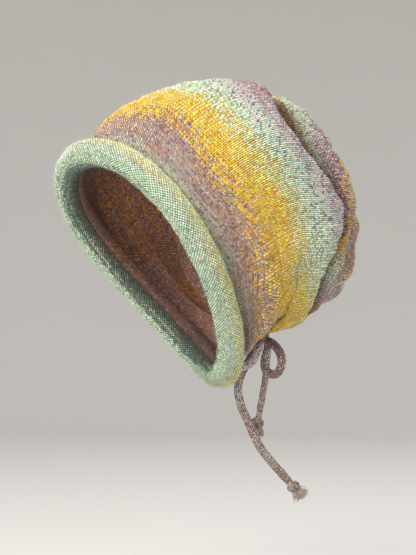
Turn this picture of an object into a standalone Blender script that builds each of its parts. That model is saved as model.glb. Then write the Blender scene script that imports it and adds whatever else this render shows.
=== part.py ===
"""A slouchy knitted beanie with a rolled brim and a drawstring tied in a bow at the nape.

World axes: +X is the wearer's left, +Y is behind the wearer and +Z is up. The origin is the
middle of the brim, where a head holds the hat. Most of the hat is worked out in hat axes,
which are left, back (along the brim, from forehead to nape) and up (away from the brim, into
the crown). The hat is worn far back on the head, so these axes are tipped about X.
"""

import math

import bpy
import numpy as np

# The brim, in metres over the roll
BRIM_LENGTH = 0.240
BRIM_WIDTH = 0.166
ROLL_THICKNESS = 0.0225
BRIM_TAPER = 0.42
BRIM_TIP = 56.0
BRIM_LIFT = 0.006
BRIM_LEAN = 0.006

# The crown: from the brim to its farthest point, and its widest sections. Before a fold the wall
# has risen all the way at this share of its run.
CROWN_DEPTH = 0.180
CROWN_HEIGHT = 0.200
CROWN_WIDTH = 0.190
KNIT_THICKNESS = 0.0035
SLOUCH_ROUNDING = 0.0036
POCKET_ROUNDING = 0.0028
SLOUCH_RISEN_AT = 0.9
POCKET_RISEN_AT = 0.6

# The cord and its bow. A tuft's rings are at a share of its length, and their radius is a share
# of the cord's thickness.
CORD_THICKNESS = 0.007
SHORT_TAIL_THICKNESS = 0.0055
KNOT_SIZE = 0.0135
KNOT_SHAPE = (1.1, 0.9, 1.0)
KNOT_LOBES = 3
END_KNOT_LOBES = 2
PINCH = 0.32
PINCH_LENGTH = 0.012
END_KNOT_SIZE = 0.011
TUFT_LENGTH = 0.010
TUFT_RINGS = ((0.0, 0.30), (0.5, 0.36), (1.0, 0.44))
GAP = 0.0006

# The curl of the brim, in degrees about the roll's middle: 0 is outwards, 90 is towards the crown
CURL_START = 176.0
CURL_END = 435.0
CURL_END_AT_NAPE = 392.0
NAPE_SLIT_HALF_ANGLE = 18.0
CURL_STEPS = 11

# The finest steps of the crown's grid
COLUMNS = 42
ROWS_TO_FOLD = 12
ROWS_IN_FOLD = 12
ROWS_TO_POCKET = 6
ROWS_IN_POCKET = 9
ROWS_TO_END = 7
LAST_RING = 0.985

# Rings above the roll. Along is the share of the way to the crown's end, out and up are shares
# of the roll's thickness, from the middle of the roll.
NECK_RINGS = (
    # along, out, up
    (0.000, -0.405, 0.05),
    (0.045, -0.37, 0.45),
    (0.090, -0.02, 0.71),
)

# Rings of the crown. Back is a share of the brim's length and up of the crown's depth, for the
# ring's middle. Tilt is in degrees from the brim, and height and width are shares of the crown's.
CROWN_RINGS = (
    # along, back, up, tilt, height, width
    (0.16, -0.032, 0.175, 4.0, 1.070, 1.000),
    (0.28, -0.042, 0.290, 10.0, 1.030, 1.020),
    (0.42, -0.020, 0.435, 20.0, 0.955, 0.990),
    (0.55, 0.045, 0.570, 30.0, 0.910, 0.995),
    (0.66, 0.084, 0.681, 34.2, 0.899, 0.943),
    (0.76, 0.118, 0.738, 33.2, 0.829, 0.828),
    (0.86, 0.203, 0.846, 27.3, 0.746, 0.667),
    (0.94, 0.242, 0.928, 22.8, 0.548, 0.426),
    (1.00, 0.239, 0.951, 30.0, 0.000, 0.000),
)

# The slouch fold, right round the crown. Around is in degrees from the forehead, over the
# wearer's left. Along is where it lies, turn how far the fabric turns back on itself, and tuck
# the length that lies under the fold, as a share of the crown's depth. Swell is how far of the
# way to the fold the wall still lies on the smooth bag, before it puffs out.
SLOUCH_FOLD = (
    # around, along, turn, tuck, swell
    (0, 0.505, 35.0, 0.02, 0.00),
    (30, 0.510, 88.0, 0.03, 0.00),
    (52, 0.470, 112.0, 0.045, 0.00),
    (66, 0.482, 136.0, 0.055, 0.00),
    (82, 0.558, 160.0, 0.06, 0.00),
    (95, 0.606, 167.0, 0.065, 0.00),
    (107, 0.584, 168.0, 0.065, 0.00),
    (119, 0.550, 164.0, 0.058, 0.02),
    (132, 0.560, 168.0, 0.055, 0.05),
    (150, 0.612, 155.0, 0.04, 0.05),
    (165, 0.622, 110.0, 0.02, 0.10),
    (180, 0.630, 70.0, 0.01, 0.10),
    (195, 0.622, 110.0, 0.02, 0.10),
    (210, 0.600, 155.0, 0.04, 0.05),
    (235, 0.575, 160.0, 0.06, 0.00),
    (260, 0.565, 135.0, 0.06, 0.00),
    (290, 0.530, 95.0, 0.05, 0.00),
    (325, 0.500, 50.0, 0.03, 0.00),
)

# The pocket fold behind it, low on the wearer's left.
POCKET_FOLD = (
    # around, along, turn, tuck, swell
    (0, 0.740, 10.0, 0.010, 0.0),
    (60, 0.740, 25.0, 0.015, 0.0),
    (85, 0.735, 90.0, 0.020, 0.0),
    (105, 0.732, 150.0, 0.022, 0.0),
    (130, 0.740, 160.0, 0.025, 0.0),
    (155, 0.760, 130.0, 0.020, 0.0),
    (180, 0.785, 75.0, 0.015, 0.0),
    (215, 0.760, 85.0, 0.020, 0.0),
    (250, 0.745, 60.0, 0.020, 0.0),
    (300, 0.750, 15.0, 0.010, 0.0),
)

# Dents and ridges of the crown. Each is centred at an angle around, and runs from one share of
# the grid's rows to another. Depth is a share of the roll's thickness, and a ridge is negative.
PLEATS = (
    # around, half width, from, to, depth
    (118, 7.0, 0.08, 0.30, 0.26),
    (104, 10.0, 0.10, 0.32, -0.18),
    (171, 9.0, 0.07, 0.23, 0.12),
    (191, 9.0, 0.07, 0.23, 0.12),
    (181, 20.0, 0.00, 0.50, 0.48),
    (152, 8.0, 0.07, 0.25, 0.12),
    (208, 8.0, 0.07, 0.25, 0.13),
    (238, 11.0, 0.08, 0.30, 0.14),
)

# The gathers that close the crown's end: how many, how deep as a share of the roll, and from where
END_GATHERS = 11
END_GATHER_DEPTH = 0.20
END_GATHERS_FROM = 0.76
END_GATHERS_TO = 0.90

# The knot of the bow, from the middle of the brim, in hat axes
KNOT_LEFT = 0.010
KNOT_BACK = 0.1052
KNOT_UP = 0.0504

# Where the drawstring's ends meet the knot, from its middle, with left turned round for one end
DRAWSTRING_END = (0.0066, -0.0050, -0.0020)

# Hand-chosen routes in metres from the bow's knot: left, back and up in the world
LEFT_LOOP_ROUTE = (
    (0.0046, 0.0042, -0.0063),
    (0.0034, 0.0034, -0.0127),
    (0.0020, 0.0022, -0.0200),
    (0.0030, 0.0014, -0.0265),
    (0.0085, 0.0014, -0.0308),
    (0.0155, 0.0012, -0.0318),
    (0.0222, 0.0006, -0.0300),
    (0.0272, 0.0000, -0.0255),
    (0.0290, -0.0002, -0.0195),
    (0.0258, 0.0002, -0.0132),
    (0.0182, 0.0010, -0.0078),
    (0.0081, 0.0016, -0.0030),
)
RIGHT_LOOP_ROUTE = (
    (-0.0050, 0.0029, -0.0055),
    (-0.0098, 0.0036, -0.0118),
    (-0.0160, 0.0028, -0.0185),
    (-0.0235, 0.0013, -0.0250),
    (-0.0315, -0.0008, -0.0298),
    (-0.0395, -0.0028, -0.0312),
    (-0.0458, -0.0038, -0.0280),
    (-0.0475, -0.0038, -0.0218),
    (-0.0440, -0.0030, -0.0152),
    (-0.0350, -0.0014, -0.0098),
    (-0.0225, 0.0004, -0.0060),
    (-0.0082, 0.0015, -0.0031),
)
LONG_TAIL_ROUTE = (
    (-0.0009, -0.0036, -0.0068),
    (-0.0038, -0.0056, -0.0140),
    (-0.0080, -0.0072, -0.0208),
    (-0.0140, -0.0112, -0.0327),
    (-0.0148, -0.0138, -0.0445),
    (-0.0138, -0.0124, -0.0563),
    (-0.0110, -0.0058, -0.0732),
    (-0.0098, -0.0012, -0.0835),
    (-0.0080, 0.0034, -0.0935),
    (-0.0030, 0.0124, -0.1070),
    (0.0008, 0.0187, -0.1153),
    (0.0046, 0.0247, -0.1233),
)
SHORT_TAIL_ROUTE = (
    (-0.0008, 0.0055, -0.0052),
    (-0.0040, 0.0094, -0.0130),
    (-0.0074, 0.0108, -0.0225),
    (-0.0100, 0.0118, -0.0343),
    (-0.0122, 0.0104, -0.0496),
    (-0.0148, 0.0098, -0.0606),
    (-0.0165, 0.0094, -0.0682),
)


def clear_scene():
    """Removes what the file opened with."""
    for thing in list(bpy.data.objects):
        bpy.data.objects.remove(thing)


def material(name, colour, roughness):
    """A plain material for one kind of yarn."""
    made = bpy.data.materials.new(name)
    made.use_nodes = True
    shader = made.node_tree.nodes["Principled BSDF"]
    shader.inputs["Base Color"].default_value = (*colour, 1.0)
    shader.inputs["Roughness"].default_value = roughness
    shader.inputs["Metallic"].default_value = 0.0
    return made


def to_world(left, back, up):
    """Hat axes tipped about X by the brim's tip, as one array of points."""
    tip = math.radians(BRIM_TIP)
    return np.stack(
        [
            left + 0 * back + 0 * up,
            back * math.cos(tip) + up * math.sin(tip),
            up * math.cos(tip) - back * math.sin(tip),
        ],
        axis=-1,
    )


def unit(vectors):
    """The vectors, each made one long."""
    return vectors / np.maximum(np.linalg.norm(vectors, axis=-1, keepdims=True), 1e-9)


def smooth_step(share):
    """Rises from 0 to 1 with a level start and end."""
    share = np.clip(share, 0.0, 1.0)
    return share * share * (3 - 2 * share)


def through(keys, rows, at):
    """A cubic curve through the rows at their keys, whose slope at each is that of its neighbours.

    The rows may hold one column of values per column of the places asked for.
    """
    keys = np.asarray(keys, float)
    slopes = np.gradient(rows, keys, axis=0)
    low = np.clip(np.searchsorted(keys, at, side="right") - 1, 0, len(keys) - 2)
    span = (keys[low + 1] - keys[low])[..., None]
    share = ((at - keys[low])[..., None]) / span
    if rows.ndim == 3:
        pick = (low, np.arange(rows.shape[1])[None, :])
        after = (low + 1, pick[1])
    else:
        pick, after = (low,), (low + 1,)
    flat = 1 - smooth_step(share)
    rise = share * (1 - share) ** 2 * span
    fall = -share * share * (1 - share) * span
    return (
        rows[pick] * flat + rows[after] * (1 - flat) + slopes[pick] * rise + slopes[after] * fall
    )


def around_table(table, angles):
    """A table whose first column is an angle, read at any angle, smooth across 360 degrees."""
    rows = np.array(table, float)
    turned = [rows + [[shift] + [0] * (rows.shape[1] - 1)] for shift in (-360, 0, 360)]
    rows = np.concatenate(turned)
    return through(rows[:, 0], rows[:, 1:], angles % 360)


def brim_line(angles):
    """The middle of the roll, left and back: an oval narrower at the nape, which leans left."""
    turn = np.radians(angles)
    half_length = (BRIM_LENGTH - ROLL_THICKNESS) / 2
    half_width = (BRIM_WIDTH - ROLL_THICKNESS) / 2
    left = half_width * np.sin(turn) * (1 + BRIM_TAPER * np.cos(turn))
    left = left + BRIM_LEAN * (1 - np.cos(turn)) ** 2 / 4
    back = -half_length * np.cos(turn)
    return np.stack([left, back], axis=-1)


def brim_outward(angles):
    """The way out of the oval in the brim's plane."""
    step = 0.5
    along = brim_line(angles + step) - brim_line(angles - step)
    return unit(np.stack([along[..., 1], -along[..., 0]], axis=-1))


def brim_lift(angles):
    """How far the brim rises from its plane beside the nape: most at 120 degrees, none in front."""
    turn = np.radians(angles)
    most = 0.75 * 1.5**2
    return BRIM_LIFT * np.sin(turn) ** 2 * (1 - np.cos(turn)) ** 2 / most


def round_roll(angles, out, up):
    """Points beside the roll's middle line, at so far out from it and up from it."""
    flat = brim_line(angles) + brim_outward(angles) * np.asarray(out)[..., None]
    return np.stack([flat[..., 0], flat[..., 1], brim_lift(angles) + up], axis=-1)


def crown_ring(angles, back, up, tilt, height, width):
    """An oval ring in a plane tilted from the brim's."""
    turn, tilt = np.radians(angles), math.radians(tilt)
    down = -np.cos(turn) * height * CROWN_HEIGHT / 2
    return np.stack(
        [
            np.sin(turn) * width * CROWN_WIDTH / 2,
            back * BRIM_LENGTH + down * math.cos(tilt),
            up * CROWN_DEPTH - down * math.sin(tilt),
        ],
        axis=-1,
    )


def bag(angles, along):
    """The smooth bag under the folds: a cubic through the neck's rings and the crown's."""
    rings = [
        round_roll(angles, out * ROLL_THICKNESS + 0 * angles, up * ROLL_THICKNESS)
        for _, out, up in NECK_RINGS
    ]
    rings += [crown_ring(angles, *row[1:]) for row in CROWN_RINGS]
    keys = [row[0] for row in NECK_RINGS + CROWN_RINGS]
    return through(keys, np.array(rings), along)


def bag_frame(angles, along):
    """The bag's points, the way on towards its end and the way out of it, at each grid point."""
    step = 0.004
    points = bag(angles, along)
    low, high = np.maximum(along - step, 0), np.minimum(along + step, 0.999)
    onward = bag(angles, high) - bag(angles, low)
    sideways = bag(angles + 0.5, along) - bag(angles - 0.5, along)
    speed = np.linalg.norm(onward, axis=-1) / (high - low)
    return points, unit(onward), unit(np.cross(sideways, onward)), speed


def fold_path(turns, tucks, rounding, count):
    """The path of a fold across its line: on, turned back, under, turned on again and out.

    The fabric keeps its length, and its heading goes down to the turn and back. Returns how far
    on and how far up it is at each of the steps, for each column.
    """
    arc = math.pi * rounding
    lengths = np.stack([arc + 0 * tucks, tucks, arc + 0 * tucks, tucks])
    ends = np.concatenate([0 * tucks[None], np.cumsum(lengths, axis=0)])
    fine = np.linspace(0, 1, 400)[:, None] * ends[-1][None]
    down = np.clip((fine - ends[0]) / (ends[1] - ends[0]), 0, 1)
    back = np.clip((fine - ends[2]) / (ends[3] - ends[2]), 0, 1)
    heading = -np.radians(turns) * (down - back)
    step = ends[-1] / 399
    on = np.cumsum(np.cos(heading), axis=0) * step
    up = np.cumsum(np.sin(heading), axis=0) * step
    picked = np.round(np.linspace(0, 399, count + 1)[1:]).astype(int)
    return on[picked], up[picked]


def pleat_height(angles, rows):
    """How far each grid point stands out for the pleats and for the gathers of the end."""
    height = np.zeros((len(rows), len(angles)))
    for around, half_width, start, stop, depth in PLEATS:
        away = (angles - around + 180) % 360 - 180
        across = np.exp(-((away / half_width) ** 2))
        middle, half = (start + stop) / 2, (stop - start) / 2
        along = smooth_step(1 - np.abs(rows - middle) / half)
        height -= depth * ROLL_THICKNESS * along[:, None] * across[None, :]
    gathered = smooth_step((rows - END_GATHERS_FROM) / (1 - END_GATHERS_FROM))
    gathered *= 1 - smooth_step((rows - END_GATHERS_TO) / (1 - END_GATHERS_TO))
    waves = np.cos(np.radians(angles) * END_GATHERS)
    return height + END_GATHER_DEPTH * ROLL_THICKNESS * gathered[:, None] * waves[None, :]


def crown_surface(angles):
    """The middle of the crown's wall, row by row from the brim to the last ring, in hat axes.

    Before each fold the wall rises above the bag by as much as the fold then drops.
    """
    slouch = around_table(SLOUCH_FOLD, angles)
    pocket = around_table(POCKET_FOLD, angles)
    base, lift, shift = [], [], []
    start = np.zeros(len(angles))
    for table, rounding, rows, fold_rows, risen in (
        (slouch, SLOUCH_ROUNDING, ROWS_TO_FOLD, ROWS_IN_FOLD, SLOUCH_RISEN_AT),
        (pocket, POCKET_ROUNDING, ROWS_TO_POCKET, ROWS_IN_POCKET, POCKET_RISEN_AT),
    ):
        at, turns, tucks = table[:, 0], table[:, 1], table[:, 2] * CROWN_DEPTH
        on, up = fold_path(turns, tucks, rounding, fold_rows)
        speed = np.maximum(bag_frame(angles, at[None])[3][0], 0.6 * CROWN_DEPTH)
        advance = np.maximum(on[-1], 0) / speed
        shares = np.linspace(0, 1, rows, endpoint=False)[1 if base else 0 :]
        stop = at - advance / 2
        base += [start + (stop - start) * share for share in shares]
        swell = table[:, 3]
        room = risen * (1 - swell)
        lift += [-up[-1] * smooth_step((share - swell) / room) for share in shares]
        shift += [0 * at for _ in shares]
        across = np.linspace(0, 1, fold_rows + 1)[1:]
        base.append(stop)
        lift.append(-up[-1])
        shift.append(0 * at)
        base += [stop + advance * share for share in across]
        lift += list(up - up[-1])
        shift += [on[k] - on[-1] * across[k] for k in range(fold_rows)]
        start = stop + advance
    shares = np.linspace(0, 1, ROWS_TO_END + 1)[1:]
    base += [start + (LAST_RING - start) * share for share in shares]
    lift += [0 * start for _ in shares]
    shift += [0 * start for _ in shares]
    base, lift, shift = np.array(base), np.array(lift), np.array(shift)
    rows = np.linspace(0, 1, len(base))
    points, onward, outward, _ = bag_frame(angles, base)
    lift = lift + pleat_height(angles, rows)
    return points + onward * shift[..., None] + outward * lift[..., None]


def grid_normals(grid):
    """The way out of a grid of rows round the hat, from its neighbours' places."""
    along = np.gradient(grid, axis=0)
    around = np.roll(grid, -1, axis=1) - np.roll(grid, 1, axis=1)
    return unit(np.cross(around, along))


def add_mesh(name, points, faces, made_of):
    """One object from points and faces, shaded smooth but for sharp corners."""
    mesh = bpy.data.meshes.new(name)
    mesh.from_pydata([tuple(point) for point in points], [], faces)
    mesh.update()
    mesh.shade_smooth()
    mesh.set_sharp_from_angle(angle=math.radians(50))
    mesh.materials.append(made_of)
    thing = bpy.data.objects.new(name, mesh)
    bpy.context.scene.collection.objects.link(thing)
    return thing


def ring_faces(rows, columns, first=0, turned=False):
    """The quads of a grid of rings, whose last column meets its first."""
    faces = []
    for row in range(rows - 1):
        for column in range(columns):
            after = (column + 1) % columns
            low, high = first + row * columns, first + (row + 1) * columns
            face = (low + column, low + after, high + after, high + column)
            faces.append(face[::-1] if turned else face)
    return faces


def make_crown():
    """Two walls, joined along the base edge and each closed at the end by a fan."""
    angles = np.arange(COLUMNS) * 360 / COLUMNS
    middle = crown_surface(angles)
    rows = len(middle)
    tip = bag(angles, np.full((1, COLUMNS), 1.0))[0].mean(axis=0)
    way = unit(np.cross(middle[-1][1] - middle[-1][0], middle[-1][0] - middle[-2][0]))
    near_tip = smooth_step((np.arange(rows) - rows + 4) / 3)[:, None, None]
    out = unit(grid_normals(middle) * (1 - near_tip) + way * near_tip) * KNIT_THICKNESS / 2
    grids = [middle - out, middle + out]
    inner = to_world(*np.moveaxis(grids[0], -1, 0)).reshape(-1, 3)
    outer = to_world(*np.moveaxis(grids[1], -1, 0)).reshape(-1, 3)
    tips = [to_world(*(tip + way * side * KNIT_THICKNESS / 2)) for side in (-1, 1)]
    points = np.concatenate([inner, outer, tips])
    count = rows * COLUMNS
    faces = ring_faces(rows, COLUMNS, 0, True) + ring_faces(rows, COLUMNS, count)
    for column in range(COLUMNS):
        after = (column + 1) % COLUMNS
        faces.append((column, after, count + after, count + column))
        last = (rows - 1) * COLUMNS
        faces.append((last + after, last + column, 2 * count))
        faces.append((count + last + column, count + last + after, 2 * count + 1))
    return add_mesh("crown", points, faces, material("knit_gold", (0.62, 0.45, 0.22), 0.9))


def curl_end(angles):
    """Where the curl ends, in degrees: sooner at the nape, where the cord comes out."""
    away = np.abs((angles - 180 + 180) % 360 - 180)
    opened = 1 - smooth_step((away - NAPE_SLIT_HALF_ANGLE) / NAPE_SLIT_HALF_ANGLE)
    return CURL_END + (CURL_END_AT_NAPE - CURL_END) * opened


def make_brim():
    """The fabric curled round a hollow, its section a ring that lacks the slit."""
    angles = np.arange(COLUMNS) * 360 / COLUMNS
    mid_radius = (ROLL_THICKNESS - KNIT_THICKNESS) / 2
    start = CURL_START + math.degrees(GAP / mid_radius)
    ends = curl_end(angles)
    section = []
    for side, steps in ((1, np.linspace(0, 1, CURL_STEPS)), (-1, np.linspace(1, 0, CURL_STEPS))):
        radius = mid_radius + side * KNIT_THICKNESS / 2
        for share in steps:
            turn = np.radians(start + (ends - start) * share)
            section.append(round_roll(angles, radius * np.cos(turn), radius * np.sin(turn)))
    grid = np.array(section)
    points = to_world(*np.moveaxis(grid, -1, 0)).reshape(-1, 3)
    faces = ring_faces(len(grid), COLUMNS)
    last = (len(grid) - 1) * COLUMNS
    for column in range(COLUMNS):
        after = (column + 1) % COLUMNS
        faces.append((last + column, last + after, after, column))
    return add_mesh("rolled_brim", points, faces, material("knit_mint", (0.55, 0.68, 0.55), 0.9))


def smooth_route(points, spacing):
    """Points evenly spaced along a cubic curve through the route's own points."""
    points = np.array(points, float)
    keys = np.concatenate([[0], np.cumsum(np.linalg.norm(np.diff(points, axis=0), axis=1))])
    fine = through(keys, points, np.linspace(0, keys[-1], 600))
    run = np.concatenate([[0], np.cumsum(np.linalg.norm(np.diff(fine, axis=0), axis=1))])
    count = max(3, round(run[-1] / spacing) + 1)
    even = np.linspace(0, run[-1], count)
    return np.stack([np.interp(even, run, fine[:, axis]) for axis in range(3)], axis=-1)


def make_cord(name, points, thickness, made_of, spacing, pinched=(0, 0)):
    """A round cord along a smooth route, pinched thinner at an end that goes into a knot."""
    line = bpy.data.curves.new(name, "CURVE")
    line.dimensions = "3D"
    line.bevel_depth = thickness / 2
    line.bevel_resolution = 2
    line.use_fill_caps = True
    spline = line.splines.new("POLY")
    route = smooth_route(points, spacing)
    spline.points.add(len(route) - 1)
    run = np.concatenate([[0], np.cumsum(np.linalg.norm(np.diff(route, axis=0), axis=1))])
    thinner = np.zeros(len(route))
    for share, from_end in zip(pinched, (run, run[-1] - run)):
        thinner += share * (1 - smooth_step(from_end / PINCH_LENGTH))
    for place, point, less in zip(spline.points, route, thinner):
        place.co = (*point, 1)
        place.radius = 1 - less
    line.materials.append(made_of)
    thing = bpy.data.objects.new(name, line)
    bpy.context.scene.collection.objects.link(thing)
    return thing


def make_lump(name, centre, sizes, made_of, lobes):
    """A round lump with a few soft lobes, as a knot has."""
    rings, sides = 7, 12
    turn = np.arange(sides) * 2 * math.pi / sides
    points = [centre - [0, 0, sizes[2] / 2]]
    for ring in range(1, rings):
        rise = math.pi * ring / rings
        swell = 1 + 0.1 * np.cos(lobes * turn + ring)
        points += list(
            np.stack(
                [
                    centre[0] + np.cos(turn) * math.sin(rise) * sizes[0] / 2 * swell,
                    centre[1] + np.sin(turn) * math.sin(rise) * sizes[1] / 2 * swell,
                    centre[2] - math.cos(rise) * sizes[2] / 2 + 0 * turn,
                ],
                axis=-1,
            )
        )
    points.append(centre + [0, 0, sizes[2] / 2])
    faces = ring_faces(rings - 1, sides, 1)
    for side in range(sides):
        after = (side + 1) % sides
        faces.append((0, 1 + after, 1 + side))
        last = 1 + (rings - 2) * sides
        faces.append((last + side, last + after, len(points) - 1))
    return add_mesh(name, points, faces, made_of)


def make_tuft(name, start, way, made_of):
    """Frayed yarn past a knot: a short brush that spreads."""
    sides = 8
    way = unit(np.array(way, float))
    side_way = unit(np.cross(way, [0.0, 0.0, 1.0]))
    other_way = np.cross(way, side_way)
    turn = np.arange(sides) * 2 * math.pi / sides
    points = []
    for share, radius in TUFT_RINGS:
        ragged = radius * CORD_THICKNESS * (1 + 0.15 * share * np.cos(3 * turn))
        ring = start + way * share * TUFT_LENGTH
        ring = ring + ragged[:, None] * (
            np.cos(turn)[:, None] * side_way + np.sin(turn)[:, None] * other_way
        )
        points += list(ring)
    faces = ring_faces(3, sides)
    faces += [tuple(range(sides))[::-1], tuple(range(2 * sides, 3 * sides))]
    return add_mesh(name, points, faces, made_of)


def knot_centre():
    """The middle of the bow's knot, in the world."""
    return to_world(KNOT_LEFT, KNOT_BACK, KNOT_UP)


def make_drawstring(made_of):
    """The cord inside the roll, from the slit at the nape all the way round and out again."""
    centre = knot_centre()
    half = NAPE_SLIT_HALF_ANGLE * 0.75
    around = np.linspace(180 + half, 540 - half, 30)
    inside = to_world(*np.moveaxis(round_roll(around, 0 * around, 0 * around), -1, 0))
    ends = []
    for side, angle in ((-1, 180 + half), (1, 180 - half)):
        hat = round_roll(np.array([angle] * 2), np.array([0.20, 0.36]) * ROLL_THICKNESS, 0)
        hat[:, 2] += np.array([0.45, 1.0]) * ROLL_THICKNESS
        low, high = to_world(*np.moveaxis(hat, -1, 0))
        near = centre + np.array(DRAWSTRING_END) * [side, 1, 1]
        ends.append([near, (near + high) / 2 + [side * 0.002, 0, 0], high, low])
    route = ends[0] + list(inside[1:-1]) + ends[1][::-1]
    pinched = (PINCH, PINCH)
    return make_cord("drawstring", route, CORD_THICKNESS, made_of, 2.5 * CORD_THICKNESS, pinched)


def make_bow(cord_colour, tuft_colour):
    """The knot under the gathers, its two loops, and the two tails with their knots and tufts."""
    centre = knot_centre()
    make_lump("bow_knot", centre, np.array(KNOT_SHAPE) * KNOT_SIZE, cord_colour, KNOT_LOBES)
    loops = (("bow_loop_left", LEFT_LOOP_ROUTE), ("bow_loop_right", RIGHT_LOOP_ROUTE))
    for name, route in loops:
        route = centre + np.array(route)
        ends = (PINCH, PINCH)
        make_cord(name, route, CORD_THICKNESS, cord_colour, 0.75 * CORD_THICKNESS, ends)
    tails = (
        ("long_tail", LONG_TAIL_ROUTE, CORD_THICKNESS),
        ("short_tail", SHORT_TAIL_ROUTE, SHORT_TAIL_THICKNESS),
    )
    for name, route, thickness in tails:
        route = centre + np.array(route)
        make_cord(name, route, thickness, cord_colour, 1.5 * thickness, (PINCH, 0))
        way = unit(route[-1] - route[-2])
        knot = route[-1] + way * (END_KNOT_SIZE / 2 + GAP)
        size = np.ones(3) * END_KNOT_SIZE
        make_lump(name + "_knot", knot, size, cord_colour, END_KNOT_LOBES)
        make_tuft(name + "_tuft", knot + way * (END_KNOT_SIZE / 2 + GAP), way, tuft_colour)


def main():
    """Makes every piece of the hat."""
    clear_scene()
    make_crown()
    make_brim()
    cord_colour = material("cord_mauve", (0.42, 0.33, 0.36), 0.85)
    tuft_colour = material("frayed_yarn", (0.72, 0.70, 0.66), 0.9)
    make_drawstring(cord_colour)
    make_bow(cord_colour, tuft_colour)


main()
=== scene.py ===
"""A slouchy space-dyed knit beanie: its stitches, its yarn, its curled brim and its drawstring.

World axes: +X is the wearer's left, +Y is behind the wearer and +Z is up, in metres. Most of the
hat is worked out in hat axes, which are left, back (along the brim, from forehead to nape) and
up (from the brim into the crown), tipped about X as the hat is worn.
"""

import math

import bpy
import numpy as np
from mathutils import Matrix, Vector

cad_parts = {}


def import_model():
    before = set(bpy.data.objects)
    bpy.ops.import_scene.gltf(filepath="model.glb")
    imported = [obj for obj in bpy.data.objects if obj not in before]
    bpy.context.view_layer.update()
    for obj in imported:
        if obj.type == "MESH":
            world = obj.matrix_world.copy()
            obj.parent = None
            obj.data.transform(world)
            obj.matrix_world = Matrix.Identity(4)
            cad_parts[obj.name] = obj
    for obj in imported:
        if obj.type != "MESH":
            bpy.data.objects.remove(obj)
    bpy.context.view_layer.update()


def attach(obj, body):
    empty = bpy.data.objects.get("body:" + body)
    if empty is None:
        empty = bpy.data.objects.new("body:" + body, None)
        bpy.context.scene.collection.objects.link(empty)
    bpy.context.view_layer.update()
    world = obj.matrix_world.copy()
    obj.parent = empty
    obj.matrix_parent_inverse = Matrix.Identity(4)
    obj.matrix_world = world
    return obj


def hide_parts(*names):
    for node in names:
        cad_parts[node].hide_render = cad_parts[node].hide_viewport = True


bl_info = {
    "name": "Slouchy knit beanie",
    "version": (1, 0, 0),
    "blender": (4, 5, 0),
    "location": "3D View > Sidebar > Beanie",
    "description": "Dresses a knitted beanie with stitches, marled yarn, a curled brim and cords",
    "category": "Object",
}

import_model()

# Rings above the roll. Along is the share of the way to the crown's end, out and up are shares
# of the roll's thickness, from the middle of the roll.
NECK_RINGS = (
    # along, out, up
    (0.000, -0.405, 0.05),
    (0.045, -0.37, 0.45),
    (0.090, -0.02, 0.71),
)

# Rings of the crown. Back is a share of the brim's length and up of the crown's depth, for the
# ring's middle. Tilt is in degrees from the brim, and height and width are shares of the crown's.
CROWN_RINGS = (
    # along, back, up, tilt, height, width
    (0.16, -0.032, 0.175, 4.0, 1.070, 1.000),
    (0.28, -0.042, 0.290, 10.0, 1.030, 1.020),
    (0.42, -0.020, 0.435, 20.0, 0.955, 0.990),
    (0.55, 0.045, 0.570, 30.0, 0.910, 0.995),
    (0.66, 0.084, 0.681, 34.2, 0.899, 0.943),
    (0.76, 0.118, 0.738, 33.2, 0.829, 0.828),
    (0.86, 0.203, 0.846, 27.3, 0.746, 0.667),
    (0.94, 0.242, 0.928, 22.8, 0.548, 0.426),
    (1.00, 0.239, 0.951, 30.0, 0.000, 0.000),
)

# The slouch fold, right round the crown. Around is in degrees from the forehead, over the
# wearer's left. Along is where it lies, turn how far the fabric turns back on itself, and tuck
# the length that lies under the fold, as a share of the crown's depth. Swell is how far of the
# way to the fold the wall still lies on the smooth bag, before it puffs out.
SLOUCH_FOLD = (
    # around, along, turn, tuck, swell
    (0, 0.505, 35.0, 0.02, 0.00),
    (30, 0.510, 88.0, 0.03, 0.00),
    (52, 0.470, 112.0, 0.045, 0.00),
    (66, 0.482, 136.0, 0.055, 0.00),
    (82, 0.558, 160.0, 0.06, 0.00),
    (95, 0.606, 167.0, 0.065, 0.00),
    (107, 0.584, 168.0, 0.065, 0.00),
    (119, 0.550, 164.0, 0.058, 0.02),
    (132, 0.560, 168.0, 0.055, 0.05),
    (150, 0.612, 155.0, 0.04, 0.05),
    (165, 0.622, 110.0, 0.02, 0.10),
    (180, 0.630, 70.0, 0.01, 0.10),
    (195, 0.622, 110.0, 0.02, 0.10),
    (210, 0.600, 155.0, 0.04, 0.05),
    (235, 0.575, 160.0, 0.06, 0.00),
    (260, 0.565, 135.0, 0.06, 0.00),
    (290, 0.530, 95.0, 0.05, 0.00),
    (325, 0.500, 50.0, 0.03, 0.00),
)

# The pocket fold behind it, low on the wearer's left.
POCKET_FOLD = (
    # around, along, turn, tuck, swell
    (0, 0.740, 10.0, 0.010, 0.0),
    (60, 0.740, 25.0, 0.015, 0.0),
    (85, 0.735, 90.0, 0.020, 0.0),
    (105, 0.732, 150.0, 0.022, 0.0),
    (130, 0.740, 160.0, 0.025, 0.0),
    (155, 0.760, 130.0, 0.020, 0.0),
    (180, 0.785, 75.0, 0.015, 0.0),
    (215, 0.760, 85.0, 0.020, 0.0),
    (250, 0.745, 60.0, 0.020, 0.0),
    (300, 0.750, 15.0, 0.010, 0.0),
)

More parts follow.
